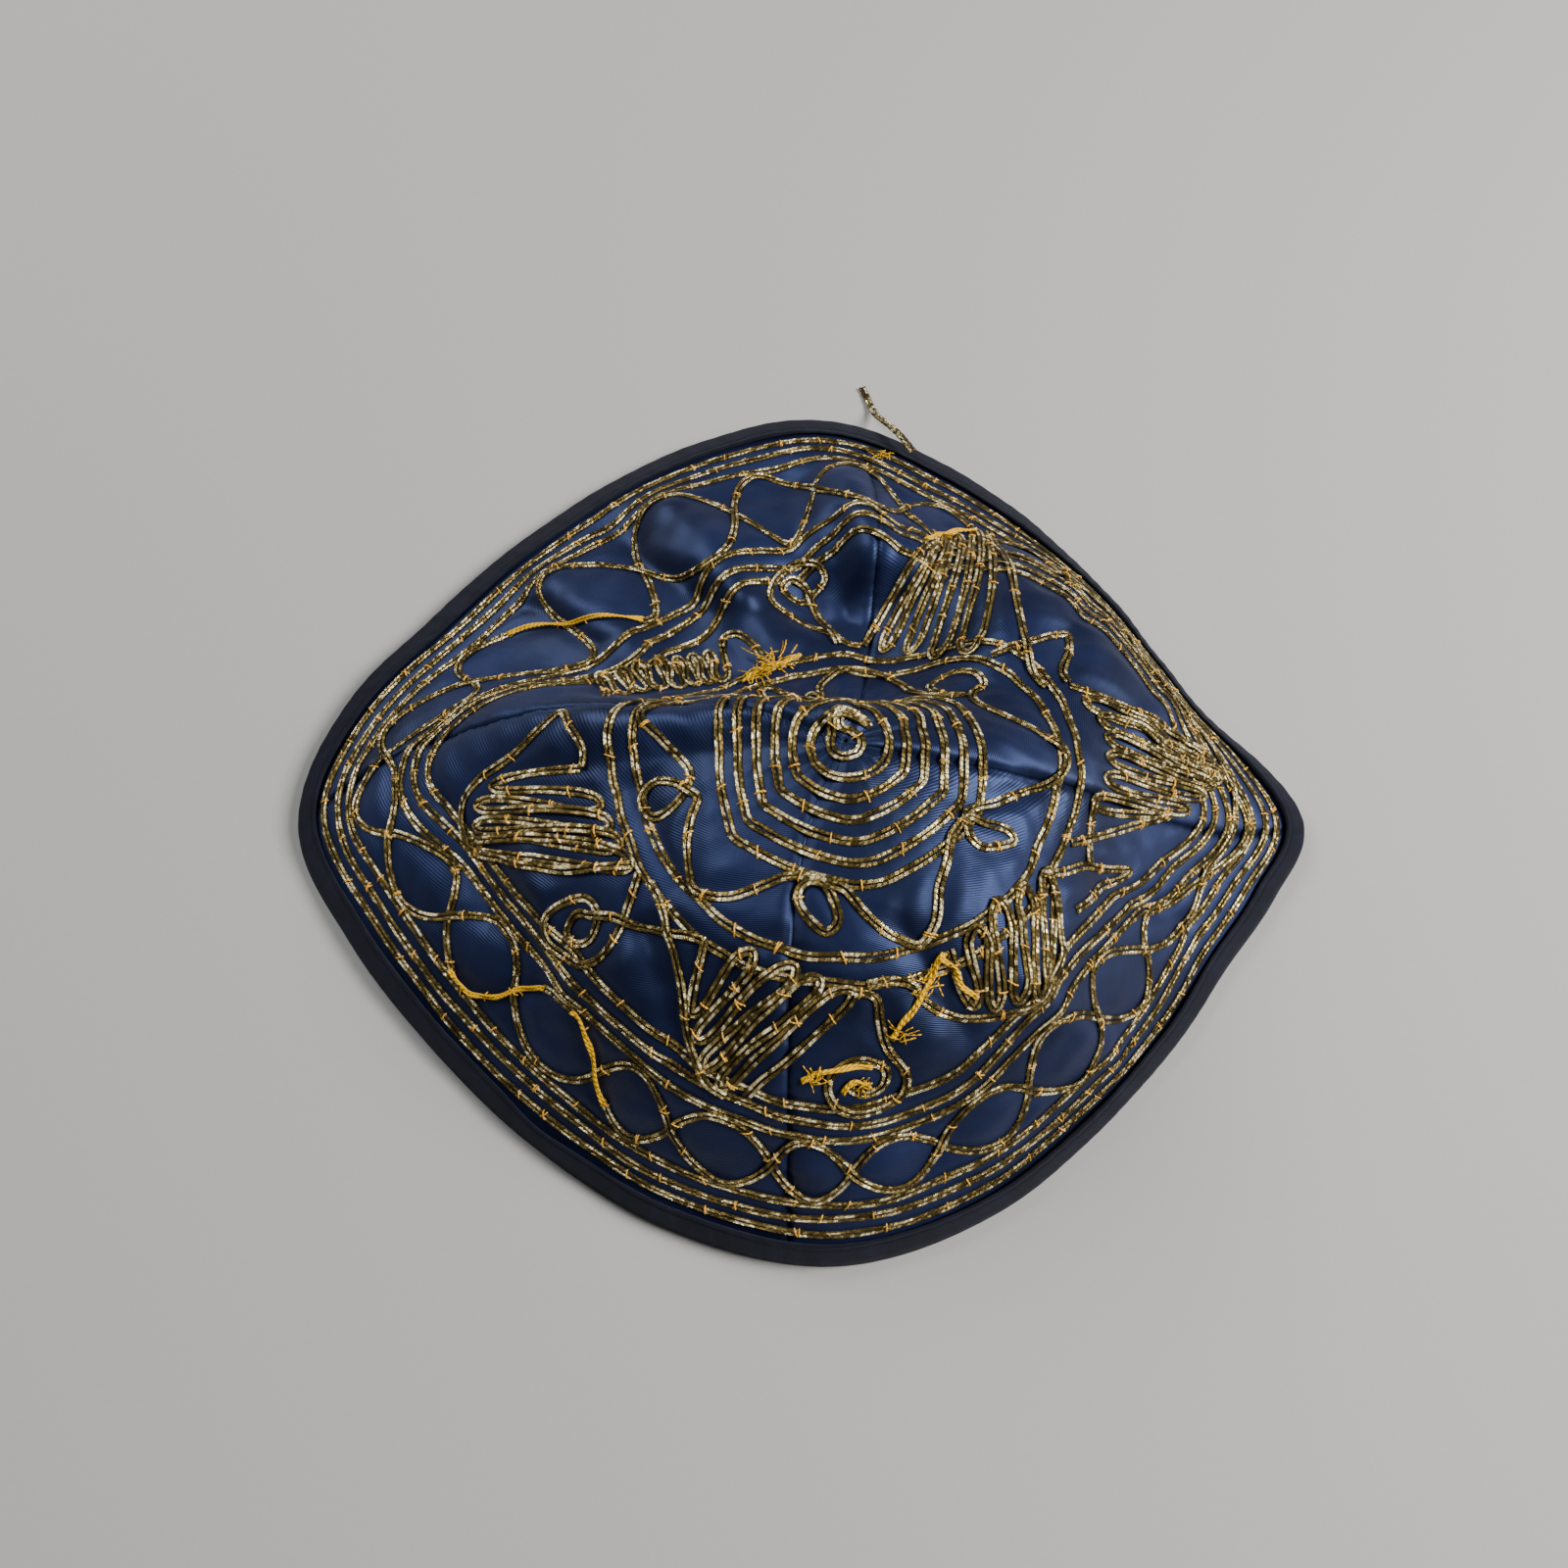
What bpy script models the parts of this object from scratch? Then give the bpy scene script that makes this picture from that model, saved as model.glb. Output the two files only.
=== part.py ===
"""A satin skullcap of four gores, edged with tape and couched with gold cord.

It lies on its rim, half collapsed along the fold that runs from corner to corner. Sizes are in
metres, +Z is up, +X runs towards the right corner and +Y towards the back.
"""
import bmesh
import bpy
import numpy as np

# Driving dimensions
CAP_LENGTH = 0.1854
CAP_WIDTH = 0.1652
CROWN_HEIGHT = 0.042
CLOTH = 0.0012
TAPE = 0.0008
TAPE_WIDTH = 0.0043
CLEARANCE = 0.0003
CORD_WIDTH = 0.0017
CORD_HEIGHT = 0.0008
RIM_LINES = 3
RIM_LINE_PITCH = 0.0030
INNER_LINE_START = 0.0252
INNER_LINE_PITCH = 0.0031
CROWN_RING = 0.0350
CROWN_RING_LEAN = 0.0025
CROWN_RING_PITCH = 0.0040
SPIRAL_START = 0.0046
SPIRAL_PITCH = 0.0030
SPIRAL_TURNS = 5.5

# Mesh density
COLUMNS_PER_GORE = 13
SPIRAL_ROWS = 5
FIRST_ROW = SPIRAL_START * 0.8

# Where the crown point stands, in shares of half the length and half the width
CROWN_AT = (0.070, -0.090)

# The cap's form by azimuth about the crown point, counted from the right corner. The reach is a
# share of half the length and half the width, and the heights are shares of the crown height.
HEIGHT_AT = (0.08, 0.14, 0.20, 0.30, 0.45, 0.60, 0.80)
SECTIONS = (
    # azimuth, reach, height at 0.08, 0.14, 0.20, 0.30, 0.45, 0.60 and 0.80 of the reach
    (0, 0.925, 0.985, 0.965, 0.94, 0.88, 0.74, 0.53, 0.27),
    (8, 0.873, 0.98, 0.955, 0.93, 0.87, 0.76, 0.60, 0.35),
    (18, 0.806, 0.97, 0.94, 0.91, 0.84, 0.74, 0.66, 0.45),
    (30, 0.790, 0.97, 0.94, 0.89, 0.78, 0.69, 0.65, 0.49),
    (45, 0.820, 0.97, 0.92, 0.81, 0.66, 0.60, 0.59, 0.46),
    (60, 0.886, 0.98, 0.86, 0.64, 0.50, 0.45, 0.48, 0.31),
    (75, 0.984, 0.97, 0.72, 0.53, 0.39, 0.34, 0.42, 0.21),
    (90, 1.084, 0.97, 0.66, 0.50, 0.38, 0.30, 0.37, 0.18),
    (105, 1.058, 0.98, 0.69, 0.51, 0.38, 0.28, 0.32, 0.17),
    (120, 1.015, 0.99, 0.80, 0.58, 0.41, 0.27, 0.28, 0.16),
    (135, 0.988, 0.99, 0.94, 0.74, 0.48, 0.30, 0.28, 0.15),
    (150, 0.994, 0.99, 0.98, 0.93, 0.70, 0.42, 0.31, 0.15),
    (165, 1.043, 0.98, 0.95, 0.92, 0.87, 0.75, 0.56, 0.24),
    (180, 1.062, 0.97, 0.93, 0.89, 0.82, 0.69, 0.50, 0.27),
    (195, 0.969, 0.98, 0.95, 0.92, 0.85, 0.72, 0.54, 0.28),
    (210, 0.903, 0.98, 0.96, 0.94, 0.89, 0.78, 0.60, 0.32),
    (230, 0.877, 0.99, 0.98, 0.96, 0.93, 0.85, 0.68, 0.36),
    (250, 0.893, 1.00, 0.99, 0.98, 0.96, 0.89, 0.73, 0.40),
    (270, 0.908, 1.01, 1.00, 0.99, 0.97, 0.91, 0.75, 0.40),
    (288, 0.858, 1.01, 1.00, 0.99, 0.97, 0.91, 0.77, 0.43),
    (306, 0.800, 1.00, 0.99, 0.98, 0.96, 0.89, 0.77, 0.43),
    (322, 0.786, 1.00, 0.98, 0.97, 0.94, 0.86, 0.71, 0.39),
    (338, 0.806, 0.99, 0.97, 0.95, 0.91, 0.80, 0.61, 0.32),
    (350, 0.868, 0.98, 0.96, 0.94, 0.89, 0.76, 0.54, 0.27),
)

# Ridges and dents laid over the sections: both ends in shares of half the length and half the
# width, the width as a share of half the length and the height as a share of the crown height.
FOLDS = (
    # start x, start y, end x, end y, width, height
    (0.15, 0.50, 0.10, 0.74, 0.045, 0.11),
    (-0.06, 0.30, -0.28, 0.70, 0.050, 0.08),
    (0.02, 0.38, -0.04, 0.78, 0.045, -0.07),
    (-0.30, 0.22, -0.52, 0.50, 0.050, 0.07),
    (-0.20, 0.42, -0.40, 0.66, 0.040, -0.05),
    (0.36, 0.20, 0.42, 0.46, 0.050, 0.05),
    (-0.34, -0.50, -0.16, -0.72, 0.060, 0.05),
    (0.30, -0.42, 0.46, -0.58, 0.060, 0.05),
    (-0.62, -0.20, -0.44, -0.44, 0.060, -0.04),
    (0.10, -0.62, 0.22, -0.80, 0.050, -0.04),
)

# Each seam's azimuth on its way from the crown to the rim
SEAM_AT = (0.0, 0.20, 0.40, 0.60, 0.80, 1.0)
SEAMS = (
    # name, azimuth at each share of the reach
    ("right", -14, -8, -6, -5.5, -4.5, -0.5),
    ("back", 76, 78, 80, 82, 84, 86),
    ("left", 150, 153, 162, 167, 171, 180),
    ("front", 246, 250, 256, 260, 262.5, 264),
)
GORES = (
    # name, the seams at its two sides, and which of them ends in a corner of the rim
    ("gore_back_right", "right", "back", "first"),
    ("gore_back_left", "back", "left", "second"),
    ("gore_front_left", "left", "front", "first"),
    ("gore_front_right", "front", "right", "second"),
)
# How much closer the columns stand at a corner than at the middle of the front or back
CORNER_CROWDING = 0.3

# The inner lines' waves, from the line nearest the rim, with heights in shares of their pitch
INNER_LINES = (
    # wave height, waves round the cap, turn of the wave
    (0.12, 9, 0.0),
    (0.10, 7, 1.3),
    (0.10, 9, 0.4),
)

# How far the inner lines drift up the wall on their way round, in shares of their distance
INNER_DRIFT = (
    # turn about the crown from the right seam, drift
    (0, -0.30),
    (15, -0.33),
    (45, -0.30),
    (72, -0.10),
    (95, 0.36),
    (125, 0.42),
    (150, 0.36),
    (167, 0.14),
    (185, -0.06),
    (210, 0.02),
    (240, 0.12),
    (262, 0.08),
    (285, -0.04),
    (312, 0.22),
    (326, 0.06),
    (342, -0.22),
)

# Derived sizes
TAPE_INSIDE = CLOTH / 2 + CLEARANCE
TAPE_OUTSIDE = TAPE_INSIDE + TAPE
HEM = TAPE_OUTSIDE * 0.7
EDGE_HEIGHT = TAPE + CLEARANCE + CLOTH / 2 + CLEARANCE / 2
RIM_LINE_START = TAPE_WIDTH + CORD_WIDTH / 2 + 2 * CLEARANCE


def smooth_curve(x, knots, values):
    """Read a smooth curve through the knots at x. The last axis of knots and values counts them."""
    spans = np.diff(knots, axis=-1)
    chords = np.diff(values, axis=-1) / spans
    middle = (chords[..., :-1] * spans[..., 1:] + chords[..., 1:] * spans[..., :-1])
    middle = middle / (spans[..., :-1] + spans[..., 1:])
    slopes = np.concatenate([chords[..., :1], middle, chords[..., -1:]], axis=-1)
    span = (x[..., None] >= knots[..., 1:-1]).sum(axis=-1)[..., None]

    def pick(table, index):
        return np.take_along_axis(table, index, axis=-1)[..., 0]

    width = pick(spans, span)
    t = (x - pick(knots, span)) / width
    low, high = pick(values, span), pick(values, span + 1)
    rise = low + (high - low) * t * t * (3 - 2 * t)
    start = pick(slopes, span) * t * (1 - t) ** 2
    end = pick(slopes, span + 1) * t * t * (t - 1)
    return rise + width * (start + end)


def round_the_cap(azimuth, column, rows=SECTIONS):
    """Read one column of a table at each azimuth or turn, smoothly all the way round."""
    table = np.array(rows, float)
    lap = np.concatenate([table[-2:, 0] - 360, table[:, 0], table[:2, 0] + 360])
    values = np.concatenate([table[-2:, column], table[:, column], table[:2, column]])
    azimuth = np.asarray(azimuth, float) % 360
    shape = azimuth.shape + lap.shape
    return smooth_curve(azimuth, np.broadcast_to(lap, shape), np.broadcast_to(values, shape))


def outline_box():
    """Give the middle and the half size of the outline, in the sections' own shares."""
    azimuth = np.arange(0, 360, 0.5)
    reach = round_the_cap(azimuth, 1)
    angle = np.radians(azimuth)
    plan = np.stack([CROWN_AT[0] + reach * np.cos(angle), CROWN_AT[1] + reach * np.sin(angle)])
    low, high = plan.min(axis=1), plan.max(axis=1)
    return (low + high) / 2, (high - low) / 2


OUTLINE_MIDDLE, OUTLINE_HALF = outline_box()


def fold_height(plan):
    """Add up the ridges and dents at each place of the plan, in shares of the crown height."""
    height = np.zeros(plan.shape[:-1])
    for x0, y0, x1, y1, width, rise in FOLDS:
        start, end = np.array((x0, y0)), np.array((x1, y1))
        length = np.hypot(*(end - start))
        along_fold = (end - start) / length
        offset = plan - start
        along = offset @ along_fold
        across = offset @ np.array((-along_fold[1], along_fold[0]))
        beyond = np.maximum(np.maximum(-along, along - length), 0)
        height += rise * np.exp(-(across ** 2 + beyond ** 2) / (2 * width ** 2))
    return height


def surface(azimuth, share):
    """Give the middle of the cloth at each azimuth and share of the reach from crown to rim."""
    azimuth, share = np.broadcast_arrays(np.asarray(azimuth, float), np.asarray(share, float))
    reach = round_the_cap(azimuth, 1)
    across = round_the_cap(azimuth + 180, 1)
    first = HEIGHT_AT[0]
    steps = [-first * across / reach, 0 * reach] + [at + 0 * reach for at in HEIGHT_AT + (1.0,)]
    heights = [round_the_cap(azimuth + 180, 2), 1 + 0 * reach]
    heights += [round_the_cap(azimuth, 2 + i) for i in range(len(HEIGHT_AT))]
    edge = EDGE_HEIGHT / CROWN_HEIGHT
    heights.append(edge + 0 * reach)
    height = smooth_curve(share, np.stack(steps, axis=-1), np.stack(heights, axis=-1))
    angle = np.radians(azimuth)
    plan = np.stack([CROWN_AT[0] + reach * share * np.cos(angle),
                     CROWN_AT[1] + reach * share * np.sin(angle)], axis=-1)
    fade = np.clip((1 - share) * 6, 0, 1)
    height = height + fold_height(plan) * fade
    half = np.array((CAP_LENGTH, CAP_WIDTH)) / 2 - TAPE_OUTSIDE
    plan = (plan - OUTLINE_MIDDLE) / OUTLINE_HALF * half
    return np.concatenate([plan, (height * CROWN_HEIGHT)[..., None]], axis=-1)


def seam_azimuth(name, share):
    """Read a seam's azimuth at each share of the way from crown to rim."""
    row = next(row for row in SEAMS if row[0] == name)
    return np.interp(share, SEAM_AT, row[1:])


def column_azimuths(share):
    """Give the azimuth of every column at each share, with the gores' first columns on seams."""
    columns = []
    for _, first, second, corner in GORES:
        start = seam_azimuth(first, share)
        end = seam_azimuth(second, share)
        end = np.where(end < start, end + 360, end)
        for i in range(COLUMNS_PER_GORE):
            t = i / COLUMNS_PER_GORE
            if corner == "first":
                t = (1 - CORNER_CROWDING) * t + CORNER_CROWDING * t * t
            else:
                t = (1 + CORNER_CROWDING) * t - CORNER_CROWDING * t * t
            columns.append(start + (end - start) * t)
    return np.array(columns)


def build_columns():
    """Lay out the cloth's columns from crown to rim, and each column's length at every step."""
    share = np.linspace(0, 1, 121)
    points = surface(column_azimuths(share), share[None, :])
    steps = np.linalg.norm(np.diff(points, axis=1), axis=2)
    travelled = np.concatenate([np.zeros((len(points), 1)), np.cumsum(steps, axis=1)], axis=1)
    return points, travelled


def read_along(values, travelled, distance):
    """Read each column at its own distance from the crown."""
    rows = []
    for column, lengths, at in zip(values, travelled, distance):
        rows.append([np.interp(at, lengths, column[:, axis]) for axis in range(3)])
    return np.array(rows)


def rim_slant(points, travelled):
    """Tell how much longer each column is than the shortest way from the rim, near the rim."""
    rim = points[:, -1]
    round_way = np.roll(rim, -1, axis=0) - np.roll(rim, 1, axis=0)
    up_way = read_along(points, travelled, travelled[:, -1] - 2 * TAPE_WIDTH) - rim
    flat = np.linalg.norm(np.cross(round_way, up_way), axis=1)
    return np.linalg.norm(round_way, axis=1) * np.linalg.norm(up_way, axis=1) / flat


def ring_distance(column_turn, index):
    """Give a crown ring's distance from the crown point, for its centre lies behind that."""
    return CROWN_RING + CROWN_RING_PITCH * index + CROWN_RING_LEAN * np.sin(column_turn)


def inner_line(column_turn, steps):
    """Give the distance from the rim, squarely to it, of a line some steps above the first."""
    drift = round_the_cap(np.degrees(column_turn), 1, INNER_DRIFT)
    return INNER_LINE_START * (1 + drift) + INNER_LINE_PITCH * steps


def row_distances(length, slant, column_turn):
    """Place the rows between the lines of cord, each column's rows by its own length.

    The first rows follow the spiral and the rings and the others follow the rim, so a line of
    cord keeps between two rows. The last ones run along the hem and the edges of the tape, so
    tape and cloth stay parallel.
    """
    spiral_end = SPIRAL_START + SPIRAL_PITCH * (SPIRAL_TURNS + 0.5)
    rows = [row + 0 * length for row in np.linspace(FIRST_ROW, spiral_end, SPIRAL_ROWS)]
    rows.append((spiral_end + ring_distance(column_turn, 0)) / 2)
    rows += [ring_distance(column_turn, index) for index in (-0.6, 0.5, 1.6)]
    inner_top = inner_line(column_turn, len(INNER_LINES) - 0.3)
    inner_foot = inner_line(column_turn, -0.7)
    rim_top = RIM_LINE_START + RIM_LINE_PITCH * (RIM_LINES - 0.4)
    rows.append((rows[-1] + length - inner_top * slant) / 2)
    from_rim = [inner_top, (inner_top + inner_foot) / 2, inner_foot, rim_top]
    from_rim += [TAPE_WIDTH, TAPE_WIDTH / 2, HEM, 0]
    return rows + [length - distance * slant for distance in from_rim]


def cloth_grid():
    """Give the cloth's middle, its normals, each row's distance from the crown and the slant."""
    points, travelled = build_columns()
    slant = rim_slant(points, travelled)
    column_turn = np.linspace(0, 2 * np.pi, len(points), endpoint=False)
    distances = row_distances(travelled[:, -1], slant, column_turn)
    grid = np.stack([read_along(points, travelled, row) for row in distances], axis=1)
    round_way = np.roll(grid, -1, axis=0) - np.roll(grid, 1, axis=0)
    down_way = np.gradient(grid, axis=1)
    normal = np.cross(down_way, round_way)
    normal /= np.linalg.norm(normal, axis=-1, keepdims=True)
    return grid, normal, np.stack(distances, axis=1), slant


def mesh_object(name, vertices, faces, material):
    """Make one closed mesh with its faces pointing out."""
    mesh = bpy.data.meshes.new(name)
    mesh.from_pydata([tuple(vertex) for vertex in vertices], [], faces)
    work = bmesh.new()
    work.from_mesh(mesh)
    bmesh.ops.recalc_face_normals(work, faces=work.faces)
    work.to_mesh(mesh)
    work.free()
    mesh.materials.append(material)
    made = bpy.data.objects.new(name, mesh)
    bpy.data.collections["skullcap"].objects.link(made)
    return made


def loft(name, sections, material, closed):
    """Join sections with equally many corners into one solid, as a ring or with both ends capped."""
    count, corners = len(sections), len(sections[0])
    vertices = [corner for section in sections for corner in section]
    faces = []
    for i in range(count if closed else count - 1):
        here, there = i * corners, (i + 1) % count * corners
        for j in range(corners):
            k = (j + 1) % corners
            faces.append((here + j, here + k, there + k, there + j))
    if not closed:
        faces.append(tuple(range(corners)))
        faces.append(tuple(range((count - 1) * corners, count * corners)))
    return mesh_object(name, vertices, faces, material)


def gore(name, grid, normal, columns, material):
    """Make one gore as a wall of cloth between two seams, pointed at the crown."""
    middle, out = grid[columns], normal[columns]
    sides = []
    for side in (0.5, -0.5):
        face = middle + out * CLOTH * side
        for edge, beside in ((0, 1), (-1, -2)):
            way = face[beside] - face[edge]
            way /= np.linalg.norm(way, axis=-1, keepdims=True)
            face[edge] += way * CLEARANCE / 2
        sides.append(face)
    crown = grid[:, 0].mean(axis=0)
    tip = crown + (middle[:, 0].mean(axis=0) - crown) * 0.15
    crown_out = normal[:, 0].mean(axis=0)
    tips = [tip + crown_out * CLOTH * side for side in (0.5, -0.5)]
    count, rows = middle.shape[:2]
    size = count * rows

    def corner(side, i, j):
        return side * size + i * rows + j

    vertices = [point for face in sides for point in face.reshape(-1, 3)] + tips
    outer_tip, inner_tip = 2 * size, 2 * size + 1
    faces = []
    for i in range(count - 1):
        for j in range(rows - 1):
            for side in (0, 1):
                faces.append((corner(side, i, j), corner(side, i + 1, j),
                              corner(side, i + 1, j + 1), corner(side, i, j + 1)))
        faces.append((corner(0, i, 0), corner(0, i + 1, 0), outer_tip))
        faces.append((corner(1, i, 0), corner(1, i + 1, 0), inner_tip))
        last = rows - 1
        faces.append((corner(0, i, last), corner(0, i + 1, last),
                      corner(1, i + 1, last), corner(1, i, last)))
    for i in (0, count - 1):
        for j in range(rows - 1):
            faces.append((corner(0, i, j), corner(0, i, j + 1),
                          corner(1, i, j + 1), corner(1, i, j)))
        faces.append((corner(0, i, 0), corner(1, i, 0), inner_tip, outer_tip))
    return mesh_object(name, vertices, faces, material)


def binding_sections(grid, normal):
    """Fold the tape around the hem: one section for each column, flat where it rests."""
    rim = grid[:, -1]
    round_way = np.roll(rim, -1, axis=0) - np.roll(rim, 1, axis=0)
    outward = np.stack([round_way[:, 1], -round_way[:, 0], 0 * round_way[:, 2]], axis=-1)
    outward /= np.linalg.norm(outward, axis=-1, keepdims=True)
    foot = rim * (1, 1, 0)
    up = np.array((0, 0, 1.0))
    top, half_way, hem = (grid[:, -4], grid[:, -3], grid[:, -2])
    top_out, half_out, hem_out, rim_out = (normal[:, -4 + row] for row in range(4))
    sections = [
        top + top_out * TAPE_INSIDE,
        top + top_out * TAPE_OUTSIDE,
        half_way + half_out * TAPE_OUTSIDE,
        hem + hem_out * TAPE_OUTSIDE,
        rim + rim_out * TAPE_OUTSIDE,
        foot + outward * TAPE_OUTSIDE + up * EDGE_HEIGHT * 0.45,
        foot + outward * TAPE_OUTSIDE * 0.6,
        foot - outward * TAPE_OUTSIDE * 0.6,
        hem - hem_out * TAPE_OUTSIDE,
        half_way - half_out * TAPE_OUTSIDE,
        top - top_out * TAPE_OUTSIDE,
        top - top_out * TAPE_INSIDE,
        half_way - half_out * TAPE_INSIDE,
        hem - hem_out * TAPE_INSIDE,
        rim - rim_out * TAPE_INSIDE,
        foot - outward * TAPE_INSIDE + up * TAPE,
        foot + outward * TAPE_INSIDE + up * TAPE,
        rim + rim_out * TAPE_INSIDE,
        hem + hem_out * TAPE_INSIDE,
        half_way + half_out * TAPE_INSIDE,
    ]
    return np.stack(sections, axis=1)


def facet_rise(grid, normal):
    """Tell how far each four-sided facet can stand above its own middle, for it isn't flat."""
    beside = np.roll(grid, -1, axis=0)
    twist = grid[:, :-1] + beside[:, 1:] - beside[:, :-1] - grid[:, 1:]
    return np.abs((twist * normal[:, :-1]).sum(axis=-1)) / 4


def cord_stations(grid, normal, distances, path):
    """Read each (column, distance from the crown) station's place, normal and least lift."""
    rise = facet_rise(grid, normal)
    points, outs, lifts = [], [], []
    for column, distance in path:
        column = column % len(grid)
        lengths = distances[column]
        points.append([np.interp(distance, lengths, grid[column, :, axis]) for axis in range(3)])
        outs.append([np.interp(distance, lengths, normal[column, :, axis]) for axis in range(3)])
        row = min(int((lengths <= distance).sum()) - 1, rise.shape[1] - 1)
        lifts.append(max(rise[column, row], rise[column - 1, row]))
    return np.array(points), np.array(outs), np.array(lifts)[:, None]


def lay_cord(name, grid, normal, distances, path, material, closed):
    """Make one line of cord as a low band that stands clear of the cloth."""
    points, outs, lifts = cord_stations(grid, normal, distances, path)
    if closed:
        way = np.roll(points, -1, axis=0) - np.roll(points, 1, axis=0)
    else:
        way = np.gradient(points, axis=0)
    side = np.cross(way, outs)
    side /= np.linalg.norm(side, axis=-1, keepdims=True)
    base = CLOTH / 2 + CLEARANCE + lifts
    sections = np.stack([
        points + side * CORD_WIDTH / 2 + outs * base,
        points + side * CORD_WIDTH * 0.3 + outs * (base + CORD_HEIGHT),
        points - side * CORD_WIDTH * 0.3 + outs * (base + CORD_HEIGHT),
        points - side * CORD_WIDTH / 2 + outs * base,
    ], axis=1)
    return loft(name, sections, material, closed)


def spiral_path(columns):
    """List the spiral's stations, one at each column, from the crown outwards."""
    stations = int(round(SPIRAL_TURNS * columns))
    return [(i, SPIRAL_START + SPIRAL_PITCH * i / columns) for i in range(stations + 1)]


def material(name, colour, roughness, metallic):
    """Make one plain material."""
    made = bpy.data.materials.new(name)
    made.use_nodes = True
    shader = made.node_tree.nodes["Principled BSDF"]
    shader.inputs["Base Color"].default_value = (*colour, 1)
    shader.inputs["Roughness"].default_value = roughness
    shader.inputs["Metallic"].default_value = metallic
    made.diffuse_color = (*colour, 1)
    return made


def clear_scene():
    """Remove what the scene holds, and make the cap's own collection."""
    for old in list(bpy.data.objects):
        bpy.data.objects.remove(old, do_unlink=True)
    bpy.context.scene.collection.children.link(bpy.data.collections.new("skullcap"))


def main():
    clear_scene()
    satin = material("navy_satin", (0.012, 0.022, 0.075), 0.38, 0.35)
    tape = material("navy_tape", (0.006, 0.008, 0.016), 0.80, 0.0)
    gold = material("gold_cord", (0.62, 0.44, 0.16), 0.32, 0.9)
    grid, normal, distances, slant = cloth_grid()
    count = len(grid)
    length = distances[:, -1]
    column_turn = np.linspace(0, 2 * np.pi, count, endpoint=False)

    for i, (name, *_) in enumerate(GORES):
        first = i * COLUMNS_PER_GORE
        columns = [(first + j) % count for j in range(COLUMNS_PER_GORE + 1)]
        gore(name, grid, normal, columns, satin)

    loft("rim_binding", binding_sections(grid, normal), tape, closed=True)

    lay = (grid, normal, distances)
    for i in range(RIM_LINES):
        line = length - (RIM_LINE_START + RIM_LINE_PITCH * i) * slant
        path = list(enumerate(line))
        lay_cord(f"rim_cord_{i + 1}", *lay, path, gold, closed=True)
    for i, (wave, waves, phase) in enumerate(INNER_LINES):
        wander = i + wave * np.sin(waves * column_turn + phase)
        line = length - inner_line(column_turn, wander) * slant
        path = list(enumerate(line))
        lay_cord(f"inner_cord_{i + 1}", *lay, path, gold, closed=True)
    for i in range(2):
        path = list(enumerate(ring_distance(column_turn, i)))
        lay_cord(f"crown_ring_{i + 1}", *lay, path, gold, closed=True)
    lay_cord("crown_spiral", *lay, spiral_path(count), gold, closed=False)


main()
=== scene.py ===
"""Dress a collapsed satin skullcap: its cloth, edge tape and couched gold cord, on a studio floor.

Places on the cap are given as a turn about the crown in degrees, from the right seam through the
back, and a distance in millimetres along the cloth, from the crown or squarely from the rim.
"""
import math
from functools import lru_cache

import bpy
import numpy as np
from bpy.props import FloatProperty, FloatVectorProperty, PointerProperty
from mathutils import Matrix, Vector
from mathutils.kdtree import KDTree


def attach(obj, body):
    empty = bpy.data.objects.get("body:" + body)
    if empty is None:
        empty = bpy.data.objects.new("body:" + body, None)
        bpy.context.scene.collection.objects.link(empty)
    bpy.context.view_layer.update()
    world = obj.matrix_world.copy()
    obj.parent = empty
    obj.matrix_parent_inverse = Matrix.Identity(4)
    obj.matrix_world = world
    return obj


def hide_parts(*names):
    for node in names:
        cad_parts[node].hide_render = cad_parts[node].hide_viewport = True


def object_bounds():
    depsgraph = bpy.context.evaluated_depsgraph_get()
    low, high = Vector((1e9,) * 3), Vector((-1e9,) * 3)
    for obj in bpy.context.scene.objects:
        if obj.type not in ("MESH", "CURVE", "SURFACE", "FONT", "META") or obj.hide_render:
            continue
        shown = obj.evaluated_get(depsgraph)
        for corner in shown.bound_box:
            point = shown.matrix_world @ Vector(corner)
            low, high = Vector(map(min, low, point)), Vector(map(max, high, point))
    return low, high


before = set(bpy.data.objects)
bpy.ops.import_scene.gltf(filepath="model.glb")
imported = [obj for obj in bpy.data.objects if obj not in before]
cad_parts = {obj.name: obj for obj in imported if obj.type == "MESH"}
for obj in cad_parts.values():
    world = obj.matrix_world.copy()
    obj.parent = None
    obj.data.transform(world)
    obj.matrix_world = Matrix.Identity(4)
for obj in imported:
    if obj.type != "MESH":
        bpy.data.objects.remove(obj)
cad_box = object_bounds()

bl_info = {
    "name": "Couched satin skullcap",
    "version": (1, 0, 0),
    "blender": (4, 5, 0),
    "location": "View3D > Sidebar > Skullcap",
    "description": "Builds the satin, the edge tape and the couched gold cord of a skullcap",
    "category": "Object",
}

# Sizes taken from the frame
CAP_LENGTH = cad_box[1].x - cad_box[0].x
CAP_WIDTH = cad_box[1].y - cad_box[0].y
LENGTH_IN_MM = 185.1
MM = CAP_LENGTH / LENGTH_IN_MM
CROWN_SHARE = 0.9535
CROWN_HEIGHT = (cad_box[1].z - cad_box[0].z) * CROWN_SHARE
CLOTH = 1.2 * MM
TAPE = 0.8 * MM
TAPE_WIDTH = 4.3 * MM
TAPE_INSIDE = CLOTH / 2 + 0.3 * MM
TAPE_OUTSIDE = TAPE_INSIDE + TAPE
HEM = TAPE_OUTSIDE * 0.7
EDGE_HEIGHT = TAPE + CLOTH / 2 + 0.45 * MM

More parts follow.
